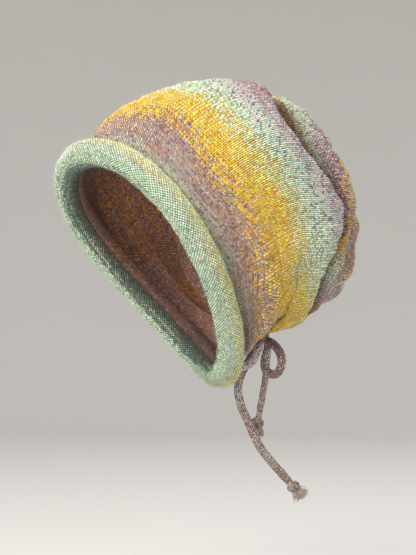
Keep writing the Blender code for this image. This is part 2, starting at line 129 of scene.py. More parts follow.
# Dents and ridges of the crown. Each is centred at an angle around, and runs from one share of
# the grid's rows to another. Depth is a share of the roll's thickness, and a ridge is negative.
PLEATS = (
    # around, half width, from, to, depth
    (118, 7.0, 0.08, 0.30, 0.26),
    (104, 10.0, 0.10, 0.32, -0.18),
    (171, 9.0, 0.07, 0.23, 0.12),
    (191, 9.0, 0.07, 0.23, 0.12),
    (181, 20.0, 0.00, 0.50, 0.48),
    (152, 8.0, 0.07, 0.25, 0.12),
    (208, 8.0, 0.07, 0.25, 0.13),
    (238, 11.0, 0.08, 0.30, 0.14),
)

# The gathers that close the crown's end: how many, how deep as a share of the roll's thickness,
# and from and up to which share of the grid's rows
END_GATHERS = 11
END_GATHER_DEPTH = 0.20
END_GATHERS_FROM = 0.76
END_GATHERS_TO = 0.90

# The rows of the crown's grid where each fold starts and ends, the last row, and how far along
# the bag that is
ROW_AT_SLOUCH = 12
ROW_AFTER_SLOUCH = 24
ROW_AT_POCKET = 30
ROW_AFTER_POCKET = 39
LAST_ROW = 46
LAST_RING = 0.985

# Each fold's rounding, which is the radius of a half turn of its cloth in metres, and by which
# share of the way to the fold the wall has risen. The way along the bag counts as at least a
# share of the crown's depth.
SLOUCH_ROUNDING = 0.0036
POCKET_ROUNDING = 0.0028
SLOUCH_RISEN_AT = 0.9
POCKET_RISEN_AT = 0.6
LEAST_SPEED = 0.6

# The crown is two pieces that meet at the bottom of the slouch fold, a little to either side of
# one row. The roll starts at a slit beside the crown, so many metres wide.
SEAM_ROW = 19.5
SEAM_GAP = 0.06
SEAM_SLIT = 0.00012

# The bands follow the knit: a point's place along the yarn is the cloth's length from the brim
# down to it, in millimetres. The dye runs ahead of that or lags behind it by so many
# millimetres at these rows of the crown, given round the hat. The cloth's length is
# measured from mark to mark, so many to a row and so many degrees apart.
MARKS_PER_ROW = 10
MARKS_APART = 6.0
DYE_ROWS = (0, 4, 8, 12, 25, 30, 39, 46)
DYE_AHEAD_AT_ROWS = (
    # around, at each of those rows
    (0, 0, 0, 5, -5, -15, -15, 10, -10),
    (30, 0, -10, 5, 10, -25, -20, 0, -15),
    (60, 0, -5, 0, 15, -15, 5, -5, -30),
    (80, 0, -10, -5, 5, 10, 15, -25, -60),
    (105, 0, -15, -10, -10, 25, 0, -30, -95),
    (125, 0, -15, -10, -10, 95, 75, -5, -80),
    (140, 0, -10, -20, -15, 140, 120, 25, -55),
    (155, 0, -10, -10, -10, 160, 145, 120, 25),
    (180, 0, -5, -5, 0, 70, 90, 110, 85),
    (210, 0, -25, -15, -10, 20, 30, 50, 15),
    (240, 0, -25, -20, -10, 0, 5, 10, -15),
    (330, 0, 5, 10, 0, 5, 5, 15, -5),
)

# The colours of the yarn along its length, by name in the colour settings
YARN_BANDS = (
    # millimetres of cloth from the brim, colour
    (12, "mint"),
    (17, "lilac"),
    (22, "mauve"),
    (26, "amber"),
    (30, "mauve"),
    (34, "plum"),
    (38, "mauve"),
    (44, "amber"),
    (52, "gold"),
    (75, "gold"),
    (86, "straw"),
    (96, "mint"),
    (112, "mint"),
    (124, "ash"),
    (134, "lilac"),
    (144, "mauve"),
    (154, "plum"),
    (162, "rust"),
    (170, "amber"),
    (179, "mint"),
    (189, "mint"),
    (197, "lilac"),
    (206, "plum"),
    (217, "mauve"),
    (225, "gold"),
    (239, "amber"),
    (247, "mint"),
    (260, "mint"),
    (272, "ash"),
    (286, "mauve"),
    (308, "rust"),
    (330, "straw"),
)

# The same for the roll, in millimetres from the crown's base round to the free edge, and for
# the cord along its length
ROLL_BANDS = (
    # The slate at the roll's start, where the curl turns into the hat, is painted shade
    (0, "slate"),
    (12, "slate"),
    (19, "mint"),
    (30, "mint"),
    (35, "ash"),
    (40, "straw"),
    (45, "mint"),
    (51, "straw"),
    (58, "straw"),
    (64, "mint"),
)
CORD_BANDS = (
    (0, "cord"),
    (30, "lilac"),
    (48, "cord"),
    (70, "plum"),
    (84, "cord"),
    (116, "lilac"),
    (132, "cord"),
    (160, "mauve"),
    (190, "cord"),
    (230, "plum"),
    (262, "cord"),
    (300, "lilac"),
)

# The odd fibres in the marled yarn, as they show on a screen, up to a share of the stitches
FLECKS = (
    (0.060, (84, 92, 150)),
    (0.120, (150, 64, 80)),
    (0.170, (110, 72, 58)),
    (0.230, (226, 186, 110)),
    (0.300, (140, 200, 196)),
    (0.370, (250, 246, 238)),
)

# Each side of the knit: how far bands run into each other in millimetres, in streaks and from
# stitch to stitch, how uneven the stitches are, how strong the flecks are, and how dark the
# painted shade keeps the gaps between stitches
FACE_LOOK = {"Rag": 14.0, "Stitch rag": 22.0, "Marl": 0.58, "Flecks": 0.95, "Gap shade": 0.18}
PURL_LOOK = {"Rag": 10.0, "Stitch rag": 8.0, "Marl": 0.60, "Flecks": 0.50, "Gap shade": 0.10}

# How bands are ragged: the scale of the streaks' noise along a course, from course to course and
# in depth, the scale of a broader noise, and the share of each in the whole
STREAK_SCALE = (0.06, 0.9, 1.0)
STREAK_SHARE = 2.4
BROAD_SCALE = 0.05
BROAD_SHARE = 2.0

# How yarn is marled: the spread of hues, the least of a stitch's strength of dye and its spread,
# how much of the flecks a full dye takes away, the step from a stitch to its second random
# number, and the scale, the darkest and the spread of the fibres' noise
HUE_SPREAD = 0.07
VIVID_LEAST, VIVID_SPREAD = 0.78, 0.42
FLECK_FADE = 0.85
SECOND_NUMBER = (37.0, 91.0, 0.0)
FIBRE_SCALE = 5.0
FIBRE_LEAST, FIBRE_SPREAD = 0.75, 0.5

# A stitch's V in the material: how far its legs slant, and how much of their height goes up and
# down along a stitch. Bump is in metres.
STITCH_SLANT = 0.6
LEG_RISE = 0.6
BUMP_HEIGHT = 0.0010
WOOL = {
    "Roughness": 0.95,
    "Specular IOR Level": 0.15,
    "Sheen Weight": 0.12,
    "Sheen Roughness": 0.45,
    "Sheen Tint": (1.0, 0.96, 0.90, 1.0),
}
LOOSE_FIBRE = {"Roughness": 0.8, "Specular IOR Level": 0.2, "Sheen Weight": 0.1}
LOOSE_SCALE = 900.0
LOOSE_SPREAD = 0.3

# The cloth's painted tints: painted warm light on the hat's inside, brighter and redder, and painted
# shade in the creases of the folds
INSIDE_PAINTED_LIGHT = (1.45, 1.10, 1.04, 1.0)
CREASE_PAINTED_SHADE = (0.24, 0.15, 0.11, 1.0)

# The inside of the crown: how much of its painted warm light it has at the brim, how many metres in
# it has all of it, where along the yarn its bands start and how much yarn goes by there for a
# millimetre outside, how much of a crease's painted shade it has at the brim, and how far in that
# ends
INSIDE_AT_BRIM = 0.32
INSIDE_REACH = 0.080
INSIDE_YARN_ON = 30.0
INSIDE_YARN_SHARE = 0.08
INSIDE_DIMMED = 0.72
INSIDE_DIMMED_TO = 0.040

# The rows between which the slouch fold's painted crease shade darkens, is darkest and lightens
CREASE_ROWS = (13.0, 15.0, 25.6, 28.2)

# The roll: up to what share of the curl it has the inside's painted warm light and a crease's
# painted shade, how much of that light its inner wall has, and how many millimetres further on
# its dye is at the nape's free edge
ROLL_INSIDE_TO = 0.27
ROLL_WALL_DEPTH = 0.8
ROLL_YELLOWING = 7.0

# The crown's fine grid: columns to a wale, and the outer wall's rows and columns for one of the
# inner wall's. Its relief fades out this many metres from the brim and from the closed end.
COLUMNS_PER_WALE = 3
INNER_RATIO = 4
FADE_AT_BRIM = 0.012
FADE_AT_END = 0.020

# At the closed end the way out of the wall turns to the way the end faces: the row, counted from
# the last, that this way is taken from, the row where the turn starts, and its number of rows
END_WAY_ROW = 20
END_TURN_ROW = 14
END_TURN_ROWS = 12

# The stitches' relief on the crown: the groove and the legs of a wale, how far legs step up and
# down from row to row, and how uneven stitches are there and on the roll
GROOVE_HEIGHT, LEG_HEIGHT = -1.0, 0.5
LEG_STEP = 0.45
UNEVENNESS = 0.40
ROLL_UNEVENNESS = 0.35

# The soft waves of the cloth: how many, and the longest and the shortest in metres
CROWN_WAVES = (60, 0.050, 0.012)
ROLL_WAVES = (50, 0.070, 0.014)
ROLL_WAVE_SHARE = 0.5

# The routes of the cords in metres, from the bow's knot: left, back and up in the world
LEFT_LOOP_ROUTE = (
    (0.0046, 0.0042, -0.0063),
    (0.0034, 0.0034, -0.0127),
    (0.0020, 0.0022, -0.0200),
    (0.0030, 0.0014, -0.0265),
    (0.0085, 0.0014, -0.0308),
    (0.0155, 0.0012, -0.0318),
    (0.0222, 0.0006, -0.0300),
    (0.0272, 0.0000, -0.0255),
    (0.0290, -0.0002, -0.0195),
    (0.0258, 0.0002, -0.0132),
    (0.0182, 0.0010, -0.0078),
    (0.0081, 0.0016, -0.0030),
)
RIGHT_LOOP_ROUTE = (
    (-0.0050, 0.0029, -0.0055),
    (-0.0098, 0.0036, -0.0118),
    (-0.0160, 0.0028, -0.0185),
    (-0.0235, 0.0013, -0.0250),
    (-0.0315, -0.0008, -0.0298),
    (-0.0395, -0.0028, -0.0312),
    (-0.0458, -0.0038, -0.0280),
    (-0.0475, -0.0038, -0.0218),
    (-0.0440, -0.0030, -0.0152),
    (-0.0350, -0.0014, -0.0098),
    (-0.0225, 0.0004, -0.0060),
    (-0.0082, 0.0015, -0.0031),
)
LONG_TAIL_ROUTE = (
    (-0.0009, -0.0036, -0.0068),
    (-0.0038, -0.0056, -0.0140),
    (-0.0080, -0.0072, -0.0208),
    (-0.0140, -0.0112, -0.0327),
    (-0.0148, -0.0138, -0.0445),
    (-0.0138, -0.0124, -0.0563),
    (-0.0110, -0.0058, -0.0732),
    (-0.0098, -0.0012, -0.0835),
    (-0.0080, 0.0034, -0.0935),
    (-0.0030, 0.0124, -0.1070),
    (0.0008, 0.0187, -0.1153),
    (0.0046, 0.0247, -0.1233),
)
SHORT_TAIL_ROUTE = (
    (-0.0008, 0.0055, -0.0052),
    (-0.0040, 0.0094, -0.0130),
    (-0.0074, 0.0108, -0.0225),
    (-0.0100, 0.0118, -0.0343),
    (-0.0122, 0.0104, -0.0496),
    (-0.0148, 0.0098, -0.0606),
    (-0.0165, 0.0094, -0.0682),
)
DRAWSTRING_END = (0.0066, -0.0050, -0.0020)

# The drawstring in the roll: the step and the points along it, and what share of the slit's half
# angle it comes out at. There it goes out and up by these shares of the roll's thickness, and
# aside by so many metres on its way to the knot.
DRAWSTRING_STEP = 0.0012
DRAWSTRING_POINTS = 30
DRAWSTRING_EXIT = 0.75
DRAWSTRING_OUT = (0.20, 0.36)
DRAWSTRING_UP = (0.45, 1.0)
DRAWSTRING_ASIDE = 0.002

# The loops of the bow's knot: one way and the other, how large each way, and where its middle is
BOW_RADIUS = 0.0030
BOW_POINTS = 80
BOW_LOOPS = (
    ((0.25, -0.95, 0.10), (0.10, 0.12, 1.0), 0.85, 1.05, (0.0010, 0.0, 0.0)),
    ((1.0, 0.15, 0.20), (-0.20, 0.10, 1.0), 1.20, 0.55, (0.0, 0.0006, 0.0)),
    ((0.95, -0.30, -0.35), (0.10, 1.0, 0.20), 1.15, 0.62, (-0.0006, 0.0, -0.0008)),
)

# The tails' end knots: points along the trefoil, its cord's radius for the short tail's
# thickness, how far it stands out past the knot's size, its depth, and its core's radius
END_KNOT_POINTS = 72
END_KNOT_CORD = 0.44
END_KNOT_OUT = 0.0006
END_KNOT_DEPTH = 1.35
END_KNOT_CORE = 0.0022

# The frayed yarn: fibres, points along one and round it, the most that its random lean may be,
# how far apart roots are and how far fibres spread and curl in metres, their shortest and
# longest share of the tuft, how deep they start in the knot, their radius, how much of it they
# lose, and how far they fade towards undyed wool
TUFT_FIBRES = 120
TUFT_POINTS = 6
TUFT_SIDES = 5
TUFT_LEAN = 1.8
TUFT_ROOTS = 0.0015
TUFT_SPREAD = 0.0018
TUFT_CURL = 0.0010
TUFT_LENGTHS = (0.70, 1.15)
TUFT_DEPTH = 0.003
TUFT_RADIUS = 0.00050
TUFT_TAPER = 0.4
TUFT_PALENESS = 0.8

# A way that fibres hardly ever take
ODD_WAY = (0.31, 0.57, 0.76)

# The loose fibres: their shortest and longest share of the hair's length, how steeply they rise,
# how much of that is left past the bend, how far they turn there, the root's depth in the cloth,
# the radius at the root, the bend and the tip, the points round it, and how far their dye fades
HAIR_LENGTHS = (0.35, 1.25)
HAIR_RISES = (0.25, 0.95)
HAIR_BEND = 0.55
HAIR_TURN = 0.9
HAIR_ROOT = 0.0003
HAIR_RADII = (0.000055, 0.000045, 0.0)
HAIR_SIDES = 3
CROWN_PALENESS = 0.30
ROLL_PALENESS = 0.40

# Where each piece's random draws start. Its soft waves start one further on.
SEEDS = {
    "crown_puff": 11,
    "crown_back": 21,
    "rolled_edge": 31,
    "crown_halo": 41,
    "brim_halo": 42,
    "tails": 60,
}

# The knitted cord: its wales, the height of a stitch, its relief, how much of a leg's height is
# left between stitches and the step along its route. Into a knot it runs on a little, thinner
# by a share over some length, and its ends close in by a share over a share of its thickness.
# Cords and the roll have so many points to a stitch.
POINTS_PER_STITCH = 4
CORD_WALES = 6
CORD_COURSE = 0.0021
CORD_RELIEF = 0.0006
CORD_LEG_LEFT = 0.45
CORD_STEP = 0.00052
PINCH = 0.32
PINCH_LENGTH = 0.010
RUN_IN = 0.0032
CLOSED_END = 0.85
CLOSED_END_LENGTH = 0.35

# The curl of the brim, in degrees about the roll's middle: 0 is outwards, 90 is towards the
# crown. Its free edge closes in by a share of its radius, from a share of the curl on. The
# bumps start at another, and their middle is sunk by so many metres.
CURL_START = 176.0
CURL_END = 463.0
CURL_END_AT_NAPE = 392.0
NAPE_SLIT_HALF_ANGLE = 18.0
ROLL_CLOSING = 0.07
ROLL_CLOSING_FROM = 0.80
ROLL_FADE = 0.08
ROLL_SUNK = 0.0002

# The photograph's frame, where the middle of the brim stands in it, its scale, and its camera
PHOTO_WIDTH, PHOTO_HEIGHT = 416, 555
BRIM_PIXEL = (155.0, 266.0)
PIXELS_PER_METRE = 1220.0
CAMERA_AZIMUTH = 55.6
CAMERA_LENS = 120.0
CAMERA_SENSOR = 36.0

# The lights: how far each is to the right, forward and up from what they are turned to, its
# size, its watts and its tint. The air is what lights the hat from all sides.
LIGHTS = {
    "key": ((-0.8, -1.25, 1.25), 1.4, 44.0, (1.0, 0.97, 0.92)),
    "top": ((0.3, 0.5, 1.9), 1.6, 40.0, (1.0, 1.0, 1.0)),
    "fill": ((1.4, -0.9, 0.2), 1.4, 14.0, (1.0, 1.0, 1.0)),
    "low": ((-0.25, -1.3, -0.22), 0.9, 16.0, (1.0, 0.96, 0.90)),
}
LIT_MIDDLE = (0.0, 0.06, 0.0)
AIR_TINT = (1.0, 0.99, 0.97, 1.0)
AIR_STRENGTH = 0.50

# The studio bowl round the hat, its columns and the points of its corner, and its paper
FLOOR_LEVEL = -0.30
BOWL_RADIUS = 1.9
BOWL_CORNER = 1.1
BOWL_HEIGHT = 3.2
BOWL_COLUMNS = 96
BOWL_CORNER_POINTS = 17
PAPER = {"Base Color": (0.52, 0.51, 0.495, 1.0), "Roughness": 0.9}


def length_property(name, description, default):
    """A size in metres."""
    return bpy.props.FloatProperty(
        name=name, description=description, default=default, unit="LENGTH", precision=4
    )


def angle_property(name, description, degrees):
    """An angle, given here in degrees."""
    return bpy.props.FloatProperty(
        name=name, description=description, default=math.radians(degrees), subtype="ANGLE"
    )


def number_property(name, description, default):
    """A plain number."""
    return bpy.props.FloatProperty(name=name, description=description, default=default)


def count_property(name, description, default):
    """A whole number of things."""
    return bpy.props.IntProperty(name=name, description=description, default=default, min=1)


def as_seen(screen):
    """A colour as it shows on a screen, from 0 to 255, made one for a shader."""
    return tuple((part / 255) ** 2.2 for part in screen)


def colour_property(name, description, screen):
    """A colour, given here as it shows on a screen, from 0 to 255."""
    return bpy.props.FloatVectorProperty(
        name=name,
        description=description,
        subtype="COLOR",
        size=3,
        min=0.0,
        max=1.0,
        default=as_seen(screen),
    )


class BeanieSizes(bpy.types.PropertyGroup):
    """The sizes of the hat, its stitches and its fuzz."""

    brim_length: length_property("Brim length", "From forehead to nape over the roll", 0.240)
    brim_width: length_property("Brim width", "From side to side over the roll", 0.166)
    roll_thickness: length_property("Roll thickness", "Across the curled edge", 0.0225)
    brim_taper: number_property("Brim taper", "How much narrower the brim is at the nape", 0.42)
    brim_tip: angle_property("Brim tip", "How far back the hat is tipped on the head", 56.0)
    brim_lift: length_property("Brim lift", "How far the brim rises beside the nape", 0.006)
    brim_lean: length_property("Brim lean", "How far the nape leans to the left", 0.006)
    crown_depth: length_property("Crown depth", "From the brim to the crown's end", 0.180)
    crown_height: length_property("Crown height", "Of its widest section", 0.200)
    crown_width: length_property("Crown width", "Of its widest section", 0.190)
    knit_thickness: length_property("Knit thickness", "Of the cloth's wall", 0.0035)
    wales: count_property("Wales", "Columns of stitches round the crown", 224)
    roll_wales: count_property("Wales on the roll", "Columns of stitches round the brim", 218)
    roll_courses: count_property("Courses on the roll", "Rows of stitches round the curl", 23)
    course: length_property("Course", "Height of one row of stitches", 0.0023)
    cord_thickness: length_property("Cord thickness", "Of the knitted cord", 0.007)
    short_thickness: length_property("Short tail thickness", "Of the thinner tail", 0.0055)
    knot_size: length_property("Knot size", "Of the bow's knot", 0.0135)
    end_knot_size: length_property("End knot size", "Of the knot near a tail's end", 0.011)
    tuft_length: length_property("Tuft length", "Of the frayed yarn past a knot", 0.010)
    knot_left: length_property("Knot left", "The knot from the brim's middle", 0.010)
    knot_back: length_property("Knot back", "The knot from the brim's middle", 0.1052)
    knot_up: length_property("Knot up", "The knot from the brim's middle", 0.0504)
    gap: length_property("Gap", "Left between two pieces that meet", 0.0006)
    stitch_relief: length_property("Stitch relief", "How far the stitches stand out", 0.00045)
    purl_relief: length_property("Purl relief", "How far the roll's bumps stand out", 0.00065)
    softness: length_property("Softness", "How far the cloth waves in and out", 0.0005)
    hair_length: length_property("Hair length", "Of the mohair that stands off the yarn", 0.0045)
    crown_hairs: count_property("Crown hairs", "Loose fibres on the crown", 12000)
    brim_hairs: count_property("Brim hairs", "Loose fibres on the roll", 9000)


class BeanieColours(bpy.types.PropertyGroup):
    """The dyes of the yarn, as they show on a screen."""

    mint: colour_property("Mint", "Pale green stretches", (208, 234, 202))
    straw: colour_property("Straw", "Where yellow fades into green", (232, 222, 130))
    gold: colour_property("Gold", "The strongest yellow", (240, 198, 74))
    amber: colour_property("Amber", "Where orange meets mauve", (214, 164, 88))
    rust: colour_property("Rust", "The brown orange", (180, 118, 84))
    mauve: colour_property("Mauve", "The dusty pink purple", (190, 162, 168))
    lilac: colour_property("Lilac", "The pale mauve", (214, 194, 198))
    plum: colour_property("Plum", "The darkest purple", (150, 108, 126))
    ash: colour_property("Ash", "The pale grey", (212, 214, 204))
    # Slate is painted shade where the brim curls into the hat
    slate: colour_property("Slate", "The grey green in the brim's shade", (120, 146, 134))
    cord: colour_property("Cord", "The drawstring", (166, 138, 122))
    frayed: colour_property("Frayed", "The tufts at the cord's ends", (142, 130, 120))


def sizes():
    """The sizes as they are set."""
    return bpy.context.scene.beanie_sizes


def colour(name):
    """One of the dyes, with its alpha."""
    return (*getattr(bpy.context.scene.beanie_colours, name), 1.0)


def joined(*parts):
    """Arrays side by side in a new last axis, each spread to the shape of them all."""
    return np.stack(np.broadcast_arrays(*parts), axis=-1)


def to_world(left, back, up):
    """Hat axes tipped about X: back and up turn by the brim's tip, left stays."""
    cos, sin = math.cos(sizes().brim_tip), math.sin(sizes().brim_tip)
    return joined(left, back * cos + up * sin, up * cos - back * sin)


def world(points):
    """An array of points in hat axes, in the world."""
    return to_world(points[..., 0], points[..., 1], points[..., 2])


def unit(vectors):
    """The vectors, each made one long."""
    return vectors / np.maximum(np.linalg.norm(vectors, axis=-1, keepdims=True), 1e-9)


def turns(count):
    """So many turns, evenly round a circle."""
    return np.arange(count) * 2 * math.pi / count


def round_way(turn, side, other):
    """The way at each turn: its cosine one way and its sine the other."""
    return np.cos(turn)[..., None] * side + np.sin(turn)[..., None] * other


def run_along(points):
    """How far along a path each of its points is."""
    return np.concatenate([[0], np.cumsum(np.linalg.norm(np.diff(points, axis=0), axis=1))])


def smooth_step(share):
    """Rises from 0 to 1 with a level start and end: three squares less two cubes."""
    share = np.clip(share, 0.0, 1.0)
    return share * share * (3 - 2 * share)


def through(keys, rows, at):
    """A cubic curve through the rows at their keys, whose slope at each is that of its neighbours.

    The rows may hold one column of values per column of the places asked for.
    """
    keys = np.asarray(keys, float)
    slopes = np.gradient(rows, keys, axis=0)
    low = np.clip(np.searchsorted(keys, at, side="right") - 1, 0, len(keys) - 2)
    span = (keys[low + 1] - keys[low])[..., None]
    share = (at - keys[low])[..., None] / span
    columns = (np.arange(rows.shape[1])[None],) if rows.ndim == 3 else ()
    pick, after = (low, *columns), (low + 1, *columns)
    flat = 1 - smooth_step(share)
    rise = share * (1 - share) ** 2 * span
    fall = -share * share * (1 - share) * span
    return rows[pick] * flat + rows[after] * (1 - flat) + slopes[pick] * rise + slopes[after] * fall


def around_table(table, angles):
    """A table whose first column is an angle, read at any angle, smooth across 360 degrees."""
    rows = np.array(table, float)
    turned = [rows + [[shift] + [0] * (rows.shape[1] - 1)] for shift in (-360, 0, 360)]
    rows = np.concatenate(turned)
    return through(rows[:, 0], rows[:, 1:], angles % 360)


def brim_line(angles):
    """The middle of the roll, left and back: an oval narrower at the nape, which leans left."""
    turn = np.radians(angles)
    half_length = (sizes().brim_length - sizes().roll_thickness) / 2
    half_width = (sizes().brim_width - sizes().roll_thickness) / 2
    left = half_width * np.sin(turn) * (1 + sizes().brim_taper * np.cos(turn))
    left = left + sizes().brim_lean * (1 - np.cos(turn)) ** 2 / 4
    back = -half_length * np.cos(turn)
    return joined(left, back)


def brim_outward(angles):
    """The way out of the oval in the brim's plane: its direction turned by a right angle."""
    step = 0.5
    along = brim_line(angles + step) - brim_line(angles - step)
    return unit(joined(along[..., 1], -along[..., 0]))


def brim_lift(angles):
    """How far the brim rises from its plane beside the nape: most at 120 degrees, none in front.

    It is the sine squared times the square of one less the cosine, for what that is at most.
    """
    turn = np.radians(angles)
    most = 0.75 * 1.5**2
    return sizes().brim_lift * np.sin(turn) ** 2 * (1 - np.cos(turn)) ** 2 / most


def round_roll(angles, out, up):
    """Points beside the roll's middle line, at so far out from it and up from it."""
    flat = brim_line(angles) + brim_outward(angles) * np.asarray(out)[..., None]
    return joined(flat[..., 0], flat[..., 1], brim_lift(angles) + up)


def crown_ring(angles, back, up, tilt, height, width):
    """An oval ring in a plane tilted from the brim's: sine across, cosine down the plane."""
    turn, tilt = np.radians(angles), math.radians(tilt)
    down = -np.cos(turn) * height * sizes().crown_height / 2
    return joined(
        np.sin(turn) * width * sizes().crown_width / 2,
        back * sizes().brim_length + down * math.cos(tilt),
        up * sizes().crown_depth - down * math.sin(tilt),
    )


def bag(angles, along):
    """The smooth bag under the folds: a cubic through the neck's rings and the crown's."""
    roll = sizes().roll_thickness
    rings = [round_roll(angles, out * roll + 0 * angles, up * roll) for _, out, up in NECK_RINGS]
    rings += [crown_ring(angles, *row[1:]) for row in CROWN_RINGS]
    keys = [row[0] for row in NECK_RINGS + CROWN_RINGS]
    return through(keys, np.array(rings), along)


def bag_frame(angles, along):
    """The bag at each grid point: the point, the ways on to its end and out of it, and its speed.

    Speed is how far the point moves on for a step along, by the bag just before and after it.
    """
    step, aside, last = 0.004, 0.5, 0.999
    low, high = np.maximum(along - step, 0), np.minimum(along + step, last)
    onward = bag(angles, high) - bag(angles, low)
    sideways = bag(angles + aside, along) - bag(angles - aside, along)
    speed = np.linalg.norm(onward, axis=-1) / (high - low)
    return bag(angles, along), unit(onward), unit(np.cross(sideways, onward)), speed


def fold_path(turns, tucks, rounding, shares):
    """The path of a fold across its line: on, turned back, under, turned on again and out.

    The heading goes down to the turn over one arc, keeps it along the tuck, and comes back over
    a second arc. Adding up its cosine gives how far on, and its sine how far up, at each share
    of the path for each column. The last two results are both at the path's end.
    """
    steps = 400
    arc = math.pi * rounding
    lengths = np.stack([arc + 0 * tucks, tucks, arc + 0 * tucks, tucks])
    ends = np.concatenate([0 * tucks[None], np.cumsum(lengths, axis=0)])
    fine = np.linspace(0, 1, steps)[:, None] * ends[-1][None]
    down = np.clip((fine - ends[0]) / (ends[1] - ends[0]), 0, 1)
    back = np.clip((fine - ends[2]) / (ends[3] - ends[2]), 0, 1)
    heading = -np.radians(turns) * (down - back)
    step = ends[-1] / (steps - 1)
    on = np.cumsum(np.cos(heading), axis=0) * step - step
    up = np.cumsum(np.sin(heading), axis=0) * step
    at = np.clip(shares, 0, 1) * (steps - 1)
    low = np.minimum(np.floor(at).astype(int), steps - 2)
    rest = (at - low)[:, None]
    picked = [path[low] * (1 - rest) + path[low + 1] * rest for path in (on, up)]
    return picked[0], picked[1], on[-1], up[-1]


def pleat_height(angles, rows):
    """How far each grid point stands out for the pleats and for the gathers of the end."""
    roll = sizes().roll_thickness
    height = np.zeros((len(rows), len(angles)))
    for around, half_width, start, stop, depth in PLEATS:
        away = (angles - around + 180) % 360 - 180
        across = np.exp(-((away / half_width) ** 2))
        middle, half = (start + stop) / 2, (stop - start) / 2
        along = smooth_step(1 - np.abs(rows - middle) / half)
        height -= depth * roll * along[:, None] * across[None, :]
    gathered = smooth_step((rows - END_GATHERS_FROM) / (1 - END_GATHERS_FROM))
    gathered *= 1 - smooth_step((rows - END_GATHERS_TO) / (1 - END_GATHERS_TO))
    waves = np.cos(np.radians(angles) * END_GATHERS)
    return height + END_GATHER_DEPTH * roll * gathered[:, None] * waves[None, :]


def crown_surface(angles, rows):
    """The middle of the crown's wall in hat axes, at any rows, which need not be whole numbers.

    Up to a fold the place along the bag runs evenly and the wall rises by as much as the fold
    then drops. Across a fold it follows the fold's path, laid along the bag's own directions.
    """
    slouch, pocket = around_table(SLOUCH_FOLD, angles), around_table(POCKET_FOLD, angles)
    base = np.zeros((len(rows), len(angles)))
    lift, shift = base.copy(), base.copy()
    start = np.zeros(len(angles))
    for table, rounding, risen, first, fold, last in (
        (slouch, SLOUCH_ROUNDING, SLOUCH_RISEN_AT, 0, ROW_AT_SLOUCH, ROW_AFTER_SLOUCH),
        (pocket, POCKET_ROUNDING, POCKET_RISEN_AT, ROW_AFTER_SLOUCH, ROW_AT_POCKET, ROW_AFTER_POCKET),
    ):
        at, turns, tucks = table[:, 0], table[:, 1], table[:, 2] * sizes().crown_depth
        across = (rows - fold) / (last - fold)
        on, up, on_end, up_end = fold_path(turns, tucks, rounding, across)
        speed = np.maximum(bag_frame(angles, at[None])[3][0], LEAST_SPEED * sizes().crown_depth)
        advance = np.maximum(on_end, 0) / speed
        stop = at - advance / 2
        swell = table[:, 3]
        before = (rows >= first) & (rows <= fold)
        share = ((rows - first) / (fold - first))[before, None]
        base[before] = start + (stop - start) * share
        lift[before] = -up_end * smooth_step((share - swell) / (risen * (1 - swell)))
        during = (rows > fold) & (rows <= last)
        base[during] = stop + advance * across[during, None]
        lift[during] = up[during] - up_end
        shift[during] = on[during] - on_end * across[during, None]
        start = stop + advance
    beyond = rows > ROW_AFTER_POCKET
    share = ((rows - ROW_AFTER_POCKET) / (LAST_ROW - ROW_AFTER_POCKET))[beyond, None]
    base[beyond] = start + (LAST_RING - start) * share
    points, onward, outward, _ = bag_frame(angles, base)
    lift = lift + pleat_height(angles, rows / LAST_ROW)
    return points + onward * shift[..., None] + outward * lift[..., None]


def corner(wall, row, column):
    """Corners of faces, each the number of a wall, a row in it and a column in that row."""
    return joined(wall, row, column)


def ring_quads(wall, rows, columns, turned=False):
    """The quads between the closed rings of one wall."""
    row, column = np.indices((rows - 1, columns)).reshape(2, -1)
    places = ((row, column), (row, column + 1), (row + 1, column + 1), (row + 1, column))
    quads = np.stack([corner(wall, *place) for place in places], axis=1)
    return quads[:, ::-1] if turned else quads


def edge_strip(outer_row, inner_row, columns, ratio, turned=False):
    """The edge of the cloth, from a ring of wall 0 to a ring of wall 1, which has fewer columns."""
    column = np.arange(columns)
    ring = [corner(1, inner_row, column), corner(1, inner_row, column + 1)]
    ring += [corner(0, outer_row, ratio * column + step) for step in range(ratio, -1, -1)]
    strip = np.stack(ring, axis=1)
    return strip[:, ::-1] if turned else strip


def end_fan(wall, row, columns, tip, turned=False):
    """Triangles from a ring to the single point that is the wall numbered tip."""
    column = np.arange(columns)
    ring = (corner(wall, row, column), corner(wall, row, column + 1), corner(tip, 0, column))
    fan = np.stack(ring, axis=1)
    return fan[:, ::-1] if turned else fan


def in_scene(name, data):
    """A new object in the scene."""
    thing = bpy.data.objects.new(name, data)
    bpy.context.scene.collection.objects.link(thing)
    return thing


def as_piece(mesh, made_of, nodes):
    """A mesh made a piece of the hat, with its material and the nodes it replaces."""
    mesh.materials.append(made_of)
    mesh.shade_smooth()
    thing = in_scene(mesh.name, mesh)
    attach(thing, "root")
    if nodes:
        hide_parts(*nodes)
    return thing


